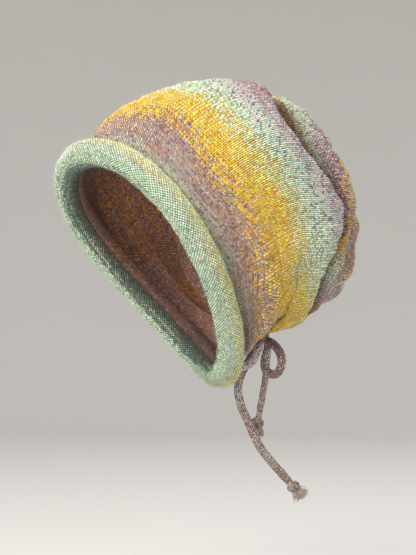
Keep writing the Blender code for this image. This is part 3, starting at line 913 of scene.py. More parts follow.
def add_piece(name, walls, groups, made_of, nodes=()):
    """One mesh from grids of closed rings.

    A wall is its points in the world, its stitch places with the first column again at the end,
    and its values by name: how far along the yarn each point is, and how much painted warm light
    of the hat's inside and painted shade of a crease it takes. A point's number is where its wall
    starts, and its row times the wall's columns, and its column. A row or column past the last is
    the first again. The cloth's edges are flat.
    """
    sizes_of = [wall[0].shape[:2] for wall in walls]
    starts = np.concatenate([[0], np.cumsum([rows * columns for rows, columns in sizes_of])])
    faces, stitches = [], []
    for group in groups:
        numbers = np.zeros(group.shape[:2], int)
        places = np.zeros((*group.shape[:2], 2))
        for which, (wall, (rows, columns)) in enumerate(zip(walls, sizes_of)):
            chosen = group[..., 0] == which
            row, column = group[..., 1][chosen], group[..., 2][chosen]
            numbers[chosen] = starts[which] + row % rows * columns + column % columns
            places[chosen] = wall[1][row, np.minimum(column, wall[1].shape[1] - 1)]
        faces += numbers.tolist()
        stitches.append(places.reshape(-1, 2))
    mesh = bpy.data.meshes.new(name)
    mesh.from_pydata(np.concatenate([wall[0].reshape(-1, 3) for wall in walls]), [], faces)
    mesh.uv_layers.new(name="stitches").data.foreach_set("uv", np.concatenate(stitches).ravel())
    for called in walls[0][2]:
        values = np.concatenate([wall[2][called].ravel() for wall in walls])
        mesh.attributes.new(called, "FLOAT", "POINT").data.foreach_set("value", values)
    thing = as_piece(mesh, made_of, nodes)
    flat = mesh.attributes.new("sharp_face", "BOOLEAN", "FACE")
    flat.data.foreach_set("value", [len(face) > 4 for face in faces])
    return thing


def end_point(place, wall, row):
    """A wall of one point, for the middle of an end, with the values of a ring's first point."""
    values = {called: np.full((1, 1), value[row, 0]) for called, value in wall[2].items()}
    return np.reshape(place, (1, 1, 3)), np.full((1, 2, 2), wall[1][row, 0]), values


def grid_normals(grid):
    """The way out of a grid of closed rings: across its columns turned on to its rows."""
    along = np.gradient(grid, axis=0)
    around = np.roll(grid, -1, axis=1) - np.roll(grid, 1, axis=1)
    return unit(np.cross(around, along))


def slow_waves(seed, angles, runs, count, longest, shortest):
    """Smooth seeded noise on the cloth, about one high.

    It adds up cosines, each a whole number of waves round the hat and a random number of
    waves along it, where longest and shortest are wavelengths in metres.
    """
    draw = np.random.default_rng(seed)
    around = sizes().crown_width * math.pi
    height = np.zeros((len(runs), len(angles)))
    for _ in range(count):
        length = math.exp(draw.uniform(math.log(shortest), math.log(longest)))
        slant, phase = draw.uniform(0, 2 * math.pi, 2)
        whole = round(around / length * math.cos(slant))
        along = runs / length * math.sin(slant) * 2 * math.pi
        height += np.cos(np.radians(angles)[None] * whole + along[:, None] + phase)
    return height / math.sqrt(count / 2)


def cloth_lengths():
    """The cloth's length from the brim, at close marks down the crown and round it."""
    marks = np.linspace(0, LAST_ROW, MARKS_PER_ROW * LAST_ROW + 1)
    lines = crown_surface(np.arange(0, 360 + MARKS_APART, MARKS_APART) % 360, marks)
    steps = np.linalg.norm(np.diff(lines, axis=0), axis=-1)
    return marks, np.concatenate([0 * steps[:1], np.cumsum(steps, axis=0)])


def blend(grid, down, across):
    """A grid's values between its rows and columns, in straight lines both ways."""
    row = np.clip(np.floor(down).astype(int), 0, grid.shape[0] - 2)
    column = np.clip(np.floor(across).astype(int), 0, grid.shape[1] - 2)
    low, share = (down - row)[:, None], across - column
    above = grid[row][:, column] * (1 - low) + grid[row + 1][:, column] * low
    beside = grid[row][:, column + 1] * (1 - low) + grid[row + 1][:, column + 1] * low
    return above * (1 - share) + beside * share


def yarn_places(angles, rows):
    """How many millimetres along the yarn each point of the crown is.

    That is the cloth's length from the brim, plus how far ahead of it the dye is.
    """
    lengths = cloth_lengths()[1]
    cloth = 1000 * blend(lengths, rows * MARKS_PER_ROW, angles % 360 / MARKS_APART)
    ahead = around_table(DYE_AHEAD_AT_ROWS, angles).T
    down = np.interp(rows, DYE_ROWS, np.arange(len(DYE_ROWS)))
    return cloth + blend(ahead, down, np.arange(len(angles)))


def crown_run():
    """Marks along the crown's rows, and the cloth's mean length from the brim to each."""
    marks, lengths = cloth_lengths()
    return marks, lengths[:, :-1].mean(axis=1)


def stitch_relief(rows, columns, seed):
    """How far the knit stands out, as a share of its relief, and unevenly from stitch to stitch.

    A wale is three columns: a groove and the two legs of its V. Legs go down and up from row to
    row, half a stitch out of step with the groove. Each stitch is raised by a random share.
    """
    draw = np.random.default_rng(seed)
    row, column = np.indices((rows, columns))
    leg = column % COLUMNS_PER_WALE
    step = np.where((row + (leg == 0)) % 2 == 0, 1.0, -1.0)
    uneven = draw.normal(0, 1, ((rows + 1) // 2, columns // COLUMNS_PER_WALE)).clip(-2, 2)
    raised = np.repeat(np.repeat(uneven, 2, axis=0)[:rows], COLUMNS_PER_WALE, axis=1)
    return np.where(leg == 0, GROOVE_HEIGHT, LEG_HEIGHT) + LEG_STEP * step + UNEVENNESS * raised


def make_crown_piece(name, first, last, nodes, ending):
    """One piece of the crown, from one row of its surface to another, with both its walls.

    The outer wall is the middle surface moved out by half the knit, by the stitches' relief and
    by soft waves. The inner wall is the middle moved in by half the knit, on a coarser grid.
    """
    marks, run = crown_run()
    course, ratio = sizes().course, INNER_RATIO
    begin, finish = np.interp([first, last], marks, run)
    coarse = round((finish - begin) / (2 * course))
    runs = np.linspace(begin, finish, ratio * coarse + 1)
    rows = np.interp(runs, run, marks)
    columns = COLUMNS_PER_WALE * sizes().wales
    angles = np.arange(columns) * 360 / columns
    middle = crown_surface(angles, rows)
    normals = grid_normals(middle)
    tip = bag(angles[:1], np.ones((1, 1)))[0, 0]
    if ending:
        way = unit(tip - middle[-END_WAY_ROW].mean(axis=0))
        from_turn = np.arange(len(rows)) - len(rows) + END_TURN_ROW
        near = smooth_step(from_turn / END_TURN_ROWS)[:, None, None]
        normals = unit(normals * (1 - near) + way * near)
    fade = smooth_step(runs / FADE_AT_BRIM) * smooth_step((run[-1] - runs) / FADE_AT_END)
    half = sizes().knit_thickness / 2
    relief = stitch_relief(len(rows), columns, SEEDS[name]) * sizes().stitch_relief
    soft = slow_waves(SEEDS[name] + 1, angles, runs, *CROWN_WAVES) * sizes().softness
    out = half + (relief + soft) * fade[:, None]
    outer = world(middle + normals * out[..., None])
    few = slice(None, None, ratio)
    inner = world((middle - normals * half)[few, few])
    places = joined(np.arange(columns + 1) / COLUMNS_PER_WALE, (runs / course)[:, None])
    yarn = yarn_places(angles, rows)
    # Painted warm light on the inner wall, growing from the brim inwards
    deep = INSIDE_AT_BRIM + (1 - INSIDE_AT_BRIM) * smooth_step(runs / INSIDE_REACH)
    depth = deep[:, None] + 0 * yarn
    # Painted shade of a crease on the inner wall near the brim
    dimmed = INSIDE_DIMMED * (1 - smooth_step(runs / INSIDE_DIMMED_TO))
    # Painted shade in the slouch fold's crease on the outer wall
    low, down, up, high = CREASE_ROWS
    crease_shade = smooth_step((rows - low) / (down - low)) * smooth_step((high - rows) / (high - up))
    crease_shade = crease_shade[:, None] * smooth_step(around_table(SLOUCH_FOLD, angles)[:, 1] / 90)
    shaded = {
        "yarn": INSIDE_YARN_ON + INSIDE_YARN_SHARE * yarn[few, few],
        "inside": depth[few, few],
        "crease": (dimmed[:, None] + 0 * yarn)[few, few],
    }
    walls = [
        (outer, places, {"yarn": yarn, "inside": 0 * yarn, "crease": crease_shade}),
        (inner, places[few, few], shaded),
    ]
    few_columns = columns // ratio
    groups = [
        ring_quads(0, len(rows), columns),
        ring_quads(1, len(inner), few_columns, turned=True),
        edge_strip(0, 0, few_columns, ratio),
    ]
    if ending:
        for wall, side in ((0, half), (1, -half)):
            walls.append(end_point(world(tip + way * side), walls[wall], -1))
            ring = columns if wall == 0 else few_columns
            groups.append(end_fan(wall, len(walls[wall][0]) - 1, ring, 2 + wall, wall == 1))
    else:
        groups.append(edge_strip(len(rows) - 1, len(inner) - 1, few_columns, ratio, turned=True))
    made_of = knit_material("knit_crown_yarn", YARN_BANDS)
    return add_piece(name, walls, groups, made_of, nodes)


def curl_end(angles):
    """Where the curl ends, in degrees: sooner at the nape, where the cord comes out."""
    away = np.abs((angles - 180 + 180) % 360 - 180)
    opened = 1 - smooth_step((away - NAPE_SLIT_HALF_ANGLE) / NAPE_SLIT_HALF_ANGLE)
    return CURL_END + (CURL_END_AT_NAPE - CURL_END) * opened


def make_roll():
    """The brim's fabric, curled with its reverse side out round the drawstring.

    A point of the section is a radius at a turn about the roll's middle. The turn runs evenly
    from the crown's base, round in front and up to the free edge, which closes in a little.
    Bumps are the product of a cosine along each wale and one along each course.
    """
    ratio, roll, half = INNER_RATIO, sizes().roll_thickness, sizes().knit_thickness / 2
    columns = POINTS_PER_STITCH * sizes().roll_wales
    count = POINTS_PER_STITCH * sizes().roll_courses + 1
    angles = np.arange(columns) * 360 / columns
    share = np.linspace(0, 1, count)[:, None]
    start = CURL_START + math.degrees(SEAM_SLIT / (roll / 2 - half))
    turn = np.radians(start + (curl_end(angles) - start) * share)
    length = (roll / 2) * (turn[-1] - turn[0]).mean()
    row, column = np.indices((count, columns))
    name = "rolled_edge"
    draw = np.random.default_rng(SEEDS[name])
    uneven = draw.normal(0, 1, (count // 2 + 1, columns // 2)).clip(-2, 2)
    uneven = np.repeat(np.repeat(uneven, 2, axis=0)[:count], 2, axis=1)
    across, down = (np.cos(2 * math.pi * at / POINTS_PER_STITCH) for at in (column, row))
    bumps = across * down + ROLL_UNEVENNESS * uneven
    waves = slow_waves(SEEDS[name] + 1, angles, share[:, 0] * length, *ROLL_WAVES)
    waves = waves * ROLL_WAVE_SHARE
    fade = smooth_step(share / ROLL_FADE)
    closed = smooth_step((share - ROLL_CLOSING_FROM) / (1 - ROLL_CLOSING_FROM))
    mid = (roll / 2 - half) * (1 - ROLL_CLOSING * closed) + waves * sizes().softness * fade
    radii = (mid + half - ROLL_SUNK + bumps * sizes().purl_relief * fade, mid - half)
    walls = []
    few = slice(None, None, ratio)
    for radius, depth in zip(radii, (0.0, ROLL_WALL_DEPTH)):
        points = world(round_roll(angles, radius * np.cos(turn), radius * np.sin(turn)))
        places = joined(np.arange(columns + 1), np.arange(count)[:, None]) / POINTS_PER_STITCH
        yarn = share * length * 1000 + ROLL_YELLOWING * (1 - np.cos(np.radians(angles))) / 2 * share
        thin = (few, few) if depth else (slice(None), slice(None))
        # Painted shade and the inside's painted warm light, where the curl turns in from the crown
        shaded = 1 - smooth_step(share / ROLL_INSIDE_TO) + 0 * yarn
        inside = depth + (1 - depth) * INSIDE_AT_BRIM * shaded
        values = {"yarn": yarn[thin], "inside": inside[thin], "crease": INSIDE_DIMMED * shaded[thin]}
        walls.append((points[thin], places[thin], values))
    rows, few_columns = len(walls[1][0]), columns // ratio
    groups = [
        ring_quads(0, count, columns),
        ring_quads(1, rows, few_columns, turned=True),
        edge_strip(0, 0, few_columns, ratio),
        edge_strip(count - 1, rows - 1, few_columns, ratio, turned=True),
    ]
    made_of = knit_material("knit_brim_yarn", ROLL_BANDS, purl=True)
    return add_piece(name, walls, groups, made_of, ["rolled_brim"])


def smooth_route(points, spacing):
    """Points evenly spaced along a cubic curve through the route's own points."""
    points, count = np.array(points, float), 600
    keys = run_along(points)
    fine = through(keys, points, np.linspace(0, keys[-1], count))
    run = run_along(fine)
    even = np.linspace(0, run[-1], max(3, round(run[-1] / spacing) + 1))
    return np.stack([np.interp(even, run, fine[:, axis]) for axis in range(3)], axis=-1)


def knitted_tube(route, wales, radius, ways, yarn_from, closed=False):
    """The wall of a knitted tube about a route.

    A point is the route's, and a radius along a turn from one side way to the other. The legs
    of each V stand out: the sine of its place in the wale, times the sine of its place up the
    stitch, which is shifted by half a stitch from the wale's edge to its middle.
    """
    columns = POINTS_PER_STITCH * wales
    step = np.linalg.norm(np.diff(route, axis=0), axis=1).mean()
    along = np.gradient(route, axis=0)
    if closed:
        along = np.roll(route, -1, axis=0) - np.roll(route, 1, axis=0)
    along = unit(along)
    side = unit(np.cross(along, ways))
    other = np.cross(along, side)
    row, column = np.indices((len(route), columns))
    beside = np.abs((column / POINTS_PER_STITCH) % 1 - 0.5) * 2
    courses = row * step / CORD_COURSE
    if closed:
        courses = courses * round(courses.max() + courses[1, 0]) / (courses.max() + courses[1, 0])
    up_stitch = (courses + beside / 2) % 1
    leg = CORD_LEG_LEFT + (1 - CORD_LEG_LEFT) * np.sin(math.pi * up_stitch)
    out = np.reshape(radius, (-1, 1)) + (np.sin(math.pi * beside) * leg - 0.5) * CORD_RELIEF
    way = round_way(turns(columns), side[:, None], other[:, None])
    points = route[:, None] + out[..., None] * way
    up = (np.arange(len(route) + closed) * step / CORD_COURSE)[:, None]
    places = joined(np.arange(columns + 1) / POINTS_PER_STITCH, up)
    yarn = yarn_from + courses * CORD_COURSE * 1000
    return points, places, {"yarn": yarn, "inside": 0 * yarn}


def add_cord(name, points, thickness, spacing, pinched, nodes, ways, yarn_from, runs_in=(0, 0)):
    """A knitted cord along a smooth route, pinched where it goes into a knot, closed at its ends.

    Each end of the route runs on straight by so much into its knot. Returns the piece and its
    route.
    """
    points = np.array(points, float)
    ends = unit(np.stack([points[0] - points[1], points[-1] - points[-2]]))
    points[[0, -1]] += ends * np.reshape(runs_in, (2, 1))
    route = smooth_route(points, spacing)
    run = run_along(route)
    radius = np.full(len(route), thickness / 2)
    for share, from_end in zip(pinched, (run, run[-1] - run)):
        radius -= thickness / 2 * share * (1 - smooth_step(from_end / PINCH_LENGTH))
        ending = 1 - np.clip(from_end / (CLOSED_END_LENGTH * thickness), 0, 1)
        radius *= np.sqrt(1 - CLOSED_END * ending**2)
    if callable(ways):
        ways = ways(route)
    wall = knitted_tube(route, CORD_WALES, radius, np.array(ways, float), yarn_from)
    columns = POINTS_PER_STITCH * CORD_WALES
    walls, groups = [wall], [ring_quads(0, len(route), columns)]
    for number, row in ((1, 0), (2, len(route) - 1)):
        walls.append(end_point(route[row], wall, row))
        groups.append(end_fan(0, row, columns, number, turned=row == 0))
    made_of = knit_material("knit_cord_yarn", CORD_BANDS)
    return add_piece(name, walls, groups, made_of, nodes), route


def knot_centre():
    """The middle of the bow's knot, in the world."""
    return to_world(sizes().knot_left, sizes().knot_back, sizes().knot_up)


def hat_outward(route):
    """For a cord inside the roll: at each point, the way out from the hat's middle."""
    up = to_world(0.0, 0.0, 1.0)
    return unit(route - (route @ up)[:, None] * up)


def drawstring_route():
    """The cord from the bow's knot into the nape's slit, round inside the roll and out again."""
    centre, roll = knot_centre(), sizes().roll_thickness
    half = NAPE_SLIT_HALF_ANGLE * DRAWSTRING_EXIT
    around = np.linspace(180 + half, 540 - half, DRAWSTRING_POINTS)
    inside = world(round_roll(around, 0 * around, 0 * around))
    out, up = np.array(DRAWSTRING_OUT) * roll, np.array(DRAWSTRING_UP) * roll
    ends = []
    for side, angle in ((-1, 180 + half), (1, 180 - half)):
        low, high = world(round_roll(np.full(2, angle), out, up))
        near = centre + np.array(DRAWSTRING_END) * [side, 1, 1]
        ends.append([near, (near + high) / 2 + [side * DRAWSTRING_ASIDE, 0, 0], high, low])
    return ends[0] + list(inside[1:-1]) + ends[1][::-1]


def make_cords():
    """The drawstring, the bow's two loops and its two tails."""
    centre, thick, thin = knot_centre(), sizes().cord_thickness, sizes().short_thickness
    back = (0.0, 1.0, 0.0)
    whole = (PINCH, PINCH)
    add_cord(
        "hidden_drawstring", drawstring_route(), thick, DRAWSTRING_STEP, whole, ["drawstring"],
        hat_outward, 64,
    )
    for name, route, node, yarn in (
        ("left_loop", LEFT_LOOP_ROUTE, "bow_loop_left", 150),
        ("right_loop", RIGHT_LOOP_ROUTE, "bow_loop_right", 58),
    ):
        loop, path = add_cord(
            name, centre + np.array(route), thick, CORD_STEP, whole, [node], back, yarn,
            (RUN_IN / 2, RUN_IN / 2),
        )
    for name, route, thickness, yarn in (
        ("long_tail", LONG_TAIL_ROUTE, thick, 60),
        ("short_tail", SHORT_TAIL_ROUTE, thin, 230),
    ):
        points = centre + np.array(route)
        tail, path = add_cord(
            name + "_cord", points, thickness, CORD_STEP, (PINCH, PINCH / 2), [name], back, yarn,
            (RUN_IN / 2, RUN_IN),
        )
        ends = make_tail_end(name, points)


def add_knot(name, loops, nodes):
    """A knot in one mesh, of closed knitted tubes: each a route, a radius, its side ways."""
    walls, groups = [], []
    for number, (route, radius, ways) in enumerate(loops):
        walls.append(knitted_tube(route, CORD_WALES, radius, ways, 30 * number, closed=True))
        groups.append(ring_quads(number, len(route) + 1, POINTS_PER_STITCH * CORD_WALES))
    made_of = knit_material("knit_cord_yarn", CORD_BANDS)
    return add_piece(name, walls, groups, made_of, nodes)


def make_tail_end(name, path):
    """The overhand knot near a tail's end and the frayed yarn past it.

    The knot is a cord along a trefoil, sines and cosines of one, two and three turns, round a
    ring of cord. A fibre runs along the tail's way, spreads by a power of its share and curls by
    a sine.
    """
    way = unit(path[-1] - path[-2])
    size, thick = sizes().end_knot_size, sizes().short_thickness
    centre = path[-1] + way * (size / 2 + sizes().gap)
    side = unit(np.cross(way, [0.0, 1.0, 0.0]))
    other = np.cross(way, side)
    turn = turns(END_KNOT_POINTS)
    radius = END_KNOT_CORD * thick
    scale = (size / 2 + END_KNOT_OUT - radius) / 3
    flat = joined(np.sin(turn) + 2 * np.sin(2 * turn), np.cos(turn) - 2 * np.cos(2 * turn))
    deep = -END_KNOT_DEPTH * np.sin(3 * turn)
    route = centre + scale * (flat[:, :1] * side + flat[:, 1:] * way + deep[:, None] * other)
    core = centre + END_KNOT_CORE * round_way(turn, way, other)
    loops = [(loop, radius, centre - loop) for loop in (route, core)]
    knot = add_knot(name + "_overhand", loops, [name + "_knot"])
    start = centre + way * (size / 2 + sizes().gap)
    draw = np.random.default_rng(len(name) + SEEDS["tails"])
    count = TUFT_FIBRES
    share = np.linspace(0, 1, TUFT_POINTS)[None, :, None]
    lean = draw.normal(0, 1, (count, 2)).clip(-TUFT_LEAN, TUFT_LEAN)
    spot = lean * TUFT_ROOTS
    lean = lean + draw.normal(0, 0.5, (count, 2))
    curl = draw.normal(0, 1, (count, 2)) * TUFT_CURL
    length = sizes().tuft_length * draw.uniform(*TUFT_LENGTHS, (count, 1, 1))
    spread = lean[:, None] * TUFT_SPREAD * share**1.5
    across = spot[:, None] + spread + curl[:, None] * np.sin(4 * share)
    paths = start - way * TUFT_DEPTH + way * share * length
    paths = paths + across[..., :1] * side + across[..., 1:] * other
    radii = TUFT_RADIUS * (1 - TUFT_TAPER * share[..., 0]) + np.zeros((count, 1))
    yarn = draw.uniform(0, CORD_BANDS[-1][0], count)
    fibres = fibre_material("frayed_yarn_fibres", CORD_BANDS, TUFT_PALENESS)
    tuft = add_strands(
        name + "_frayed", paths, radii, yarn, fibres, TUFT_SIDES, [name + "_tuft"]
    )
    return [knot, tuft]


def make_bow_knot():
    """The bow's knot: cords that pass behind, and one wrapped over them and pulled tight.

    Each is an oval loop about the knot's middle: a cosine one way and a sine the other.
    """
    room = sizes().knot_size / 2 - BOW_RADIUS
    loops = []
    for way, other, wide, tall, shift in BOW_LOOPS:
        way, other = wide * unit(np.array(way)), tall * unit(np.array(other))
        middle = knot_centre() + np.array(shift)
        route = middle + room * round_way(turns(BOW_POINTS), way, other)
        loops.append((route, BOW_RADIUS, middle - route))
    return add_knot("bow_wrap", loops, ["bow_knot"])


def add_strands(name, paths, radii, yarn, made_of, sides, nodes=()):
    """Many tapering fibres in one mesh, closed at the root and drawn to a point at the tip.

    About each point of a fibre's path but the last stands a ring of a few points. Its side way
    is across the path and across a way that fibres hardly ever take.
    """
    count, steps = paths.shape[:2]
    along = unit(np.gradient(paths, axis=1))
    side = unit(np.cross(along, unit(np.array(ODD_WAY))))
    other = np.cross(along, side)
    way = round_way(turns(sides), side[:, :-1, None], other[:, :-1, None])
    rings = paths[:, :-1, None] + radii[:, :-1, None, None] * way
    each = (steps - 1) * sides + 1
    points = np.concatenate([rings.reshape(count, -1, 3), paths[:, -1:]], axis=1).reshape(-1, 3)
    first = (np.arange(count) * each)[:, None]
    ring, spot = np.indices((steps - 2, sides)).reshape(2, -1)
    after = (spot + 1) % sides
    low, high = ring * sides, (ring + 1) * sides
    quads = np.stack([low + spot, low + after, high + after, high + spot], axis=-1)
    spot = np.arange(sides)
    last = (steps - 2) * sides
    tips = np.stack([last + spot, last + (spot + 1) % sides, 0 * spot + each - 1], axis=-1)
    faces = (first[..., None] + quads).reshape(-1, 4).tolist()
    faces += (first[..., None] + tips).reshape(-1, 3).tolist()
    faces += (first + np.arange(sides)[::-1]).tolist()
    mesh = bpy.data.meshes.new(name)
    mesh.from_pydata(points, [], faces)
    mesh.attributes.new("yarn", "FLOAT", "POINT").data.foreach_set("value", np.repeat(yarn, each))
    return as_piece(mesh, made_of, nodes)


def read_values(things, name, wide=1):
    """A value of each of Blender's things, such as a vertex's place, in the rows of an array."""
    values = np.empty(len(things) * wide)
    things.foreach_get(name, values)
    return values.reshape(-1, wide)


def make_hairs(name, pieces, count, made_of):
    """The mohair halo: fibres from random points of some pieces, which lean over and bend.

    Each goes out along the normal and a random way along the cloth, and then more along it.
    """
    draw = np.random.default_rng(SEEDS[name])
    places, normals, yarns = [], [], []
    for piece in pieces:
        mesh = bpy.data.objects[piece].data
        outer = read_values(mesh.attributes["inside"].data, "value")[:, 0] == 0
        places.append(read_values(mesh.vertices, "co", 3)[outer])
        normals.append(read_values(mesh.vertex_normals, "vector", 3)[outer])
        yarns.append(read_values(mesh.attributes["yarn"].data, "value")[outer, 0])
    place, normal, yarn = np.concatenate(places), np.concatenate(normals), np.concatenate(yarns)
    chosen = draw.choice(len(place), count, replace=False)
    place, normal, yarn = place[chosen], normal[chosen], yarn[chosen]
    along = unit(np.cross(normal, draw.normal(0, 1, (count, 3))))
    turned = unit(along + HAIR_TURN * np.cross(normal, along) * draw.choice([-1, 1], (count, 1)))
    half_length = sizes().hair_length * draw.uniform(*HAIR_LENGTHS, (count, 1)) / 2
    rise = draw.uniform(*HAIR_RISES, (count, 1))
    bend = place + half_length * (rise * normal + along)
    tip = bend + half_length * (HAIR_BEND * rise * normal + turned)
    paths = np.stack([place - normal * HAIR_ROOT, bend, tip], axis=1)
    radii = np.broadcast_to(HAIR_RADII, (count, 3))
    return add_strands(name, paths, radii, yarn, made_of, HAIR_SIDES)


def wire(tree, kind, inputs=None, **settings):
    """A node with its settings, and its inputs either joined to a socket or given a value."""
    made = tree.nodes.new("ShaderNode" + kind)
    for name, value in settings.items():
        setattr(made, name, value)
    for name, value in (inputs or {}).items():
        if isinstance(value, bpy.types.NodeSocket):
            tree.links.new(value, made.inputs[name])
        else:
            made.inputs[name].default_value = value
    return made


def maths(tree, operation, first, second=0.0, third=0.0):
    """What a Math node puts out."""
    inputs = {0: first, 1: second, 2: third}
    return wire(tree, "Math", inputs, operation=operation).outputs[0]


def mixed(tree, kind, share, first, second):
    """What a Mix node of two colours puts out."""
    inputs = {"Factor": share, 6: first, 7: second}
    return wire(tree, "Mix", inputs, data_type="RGBA", blend_type=kind).outputs[2]


def centred(tree, value):
    """A share, less a half."""
    return maths(tree, "SUBTRACT", value, 0.5)


def attribute(tree, name):
    """What a mesh's attribute puts out."""
    return wire(tree, "Attribute", attribute_name=name).outputs["Fac"]


def ramp(tree, at, stops, kind="LINEAR"):
    """What a colour ramp puts out at a place, from its stops: each a place and a colour."""
    made = wire(tree, "ValToRGB", {0: at})
    made.color_ramp.interpolation = kind
    elements = made.color_ramp.elements
    for element, stop in zip(elements, (stops[0], stops[-1])):
        element.position, element.color = stop
    for place, tint in stops[1:-1]:
        elements.new(place).color = tint
    return made.outputs[0]


def new_group(name, inputs, outputs):
    """An empty shader node group with its sockets, and the nodes for them inside it."""
    group = bpy.data.node_groups.new(name, "ShaderNodeTree")
    for side, sockets in (("INPUT", inputs), ("OUTPUT", outputs)):
        for called, kind in sockets.items():
            group.interface.new_socket(called, in_out=side, socket_type="NodeSocket" + kind)
    given = group.nodes.new("NodeGroupInput").outputs
    return group, given, group.nodes.new("NodeGroupOutput").inputs


def finish_group(group, asked, results):
    """Joins the group's results to its outputs."""
    for name, socket in results.items():
        group.links.new(socket, asked[name])
    return group


def plain_stitches():
    """A group for the face of the knit, from its wales and courses.

    Beside is 0 in the middle of a wale and 1 at its edge. A leg's height is the sine of its
    place across the leg, and the sine of its place up the stitch, which slants with beside.
    """
    group, given, asked = new_group(
        "Plain stitches", {"Place": "Vector"}, {"Height": "Float", "Stitch": "Vector"}
    )
    apart = wire(group, "SeparateXYZ", {0: given["Place"]})
    in_wale = centred(group, maths(group, "FRACT", apart.outputs[0]))
    beside = maths(group, "MULTIPLY", maths(group, "ABSOLUTE", in_wale), 2.0)
    slanted = maths(group, "MULTIPLY_ADD", beside, STITCH_SLANT, apart.outputs[1])
    up_stitch = maths(group, "FRACT", slanted)
    across = maths(group, "SINE", maths(group, "MULTIPLY", beside, math.pi))
    along = maths(group, "SINE", maths(group, "MULTIPLY", up_stitch, math.pi))
    rise = maths(group, "MULTIPLY_ADD", along, LEG_RISE, 1 - LEG_RISE)
    height = maths(group, "MULTIPLY", across, rise)
    leg = maths(group, "FLOOR", maths(group, "MULTIPLY", apart.outputs[0], 2.0))
    half_up = maths(group, "FLOOR", maths(group, "MULTIPLY", slanted, 2.0))
    stitch = wire(group, "CombineXYZ", {0: leg, 1: half_up})
    return finish_group(group, asked, {"Height": height, "Stitch": stitch.outputs[0]})


def purl_stitches():
    """A group for the reverse of the knit: bumps in rows, each row half a wale from the next.

    The height is half of one more than the cosine along the wale times that along the course.
    """
    group, given, asked = new_group(
        "Purl stitches", {"Place": "Vector"}, {"Height": "Float", "Stitch": "Vector"}
    )
    apart = wire(group, "SeparateXYZ", {0: given["Place"]})
    waves = [
        maths(group, "COSINE", maths(group, "MULTIPLY", apart.outputs[side], 2 * math.pi))
        for side in (0, 1)
    ]
    height = maths(group, "MULTIPLY_ADD", maths(group, "MULTIPLY", *waves), 0.5, 0.5)
    twice = [maths(group, "MULTIPLY", apart.outputs[side], 2.0) for side in (0, 1)]
    cells = [maths(group, "FLOOR", maths(group, "ADD", part, 0.5)) for part in twice]
    stitch = wire(group, "CombineXYZ", {0: cells[0], 1: cells[1]})
    return finish_group(group, asked, {"Height": height, "Stitch": stitch.outputs[0]})


def ragged_bands():
    """A group that moves the place along the yarn, so that bands meet in ragged streaks.

    The yarn runs along the courses, so its noise is long that way and short the other way, and
    each course is moved by a random share. So is each stitch, by a share of its own.
    """
    given_sockets = dict.fromkeys(("Yarn", "Rag", "Stitch rag"), "Float")
    given_sockets |= {"Place": "Vector", "Stitch": "Vector"}
    group, given, asked = new_group("Ragged bands", given_sockets, {"Yarn": "Float"})
    stretched = wire(group, "Mapping", {"Vector": given["Place"], "Scale": STREAK_SCALE})
    streaks = {"Vector": stretched.outputs[0], "Scale": 1.0, "Detail": 3.0}
    streaks = centred(group, wire(group, "TexNoise", streaks).outputs[0])
    apart = wire(group, "SeparateXYZ", {0: given["Place"]})
    course = maths(group, "FLOOR", apart.outputs[1])
    random = wire(group, "TexWhiteNoise", {"W": course}, noise_dimensions="1D")
    broad = {"Vector": given["Place"], "Scale": BROAD_SCALE, "Detail": 1.0}
    broad = centred(group, wire(group, "TexNoise", broad).outputs[0])
    moved = centred(group, random.outputs[0])
    moved = maths(group, "MULTIPLY_ADD", streaks, STREAK_SHARE, moved)
    moved = maths(group, "MULTIPLY_ADD", broad, BROAD_SHARE, moved)
    yarn = maths(group, "MULTIPLY_ADD", moved, given["Rag"], given["Yarn"])
    single = wire(group, "TexWhiteNoise", {"Vector": given["Stitch"]}, noise_dimensions="2D")
    single = centred(group, single.outputs[0])
    yarn = maths(group, "MULTIPLY_ADD", single, given["Stitch rag"], yarn)
    return finish_group(group, asked, {"Yarn": yarn})


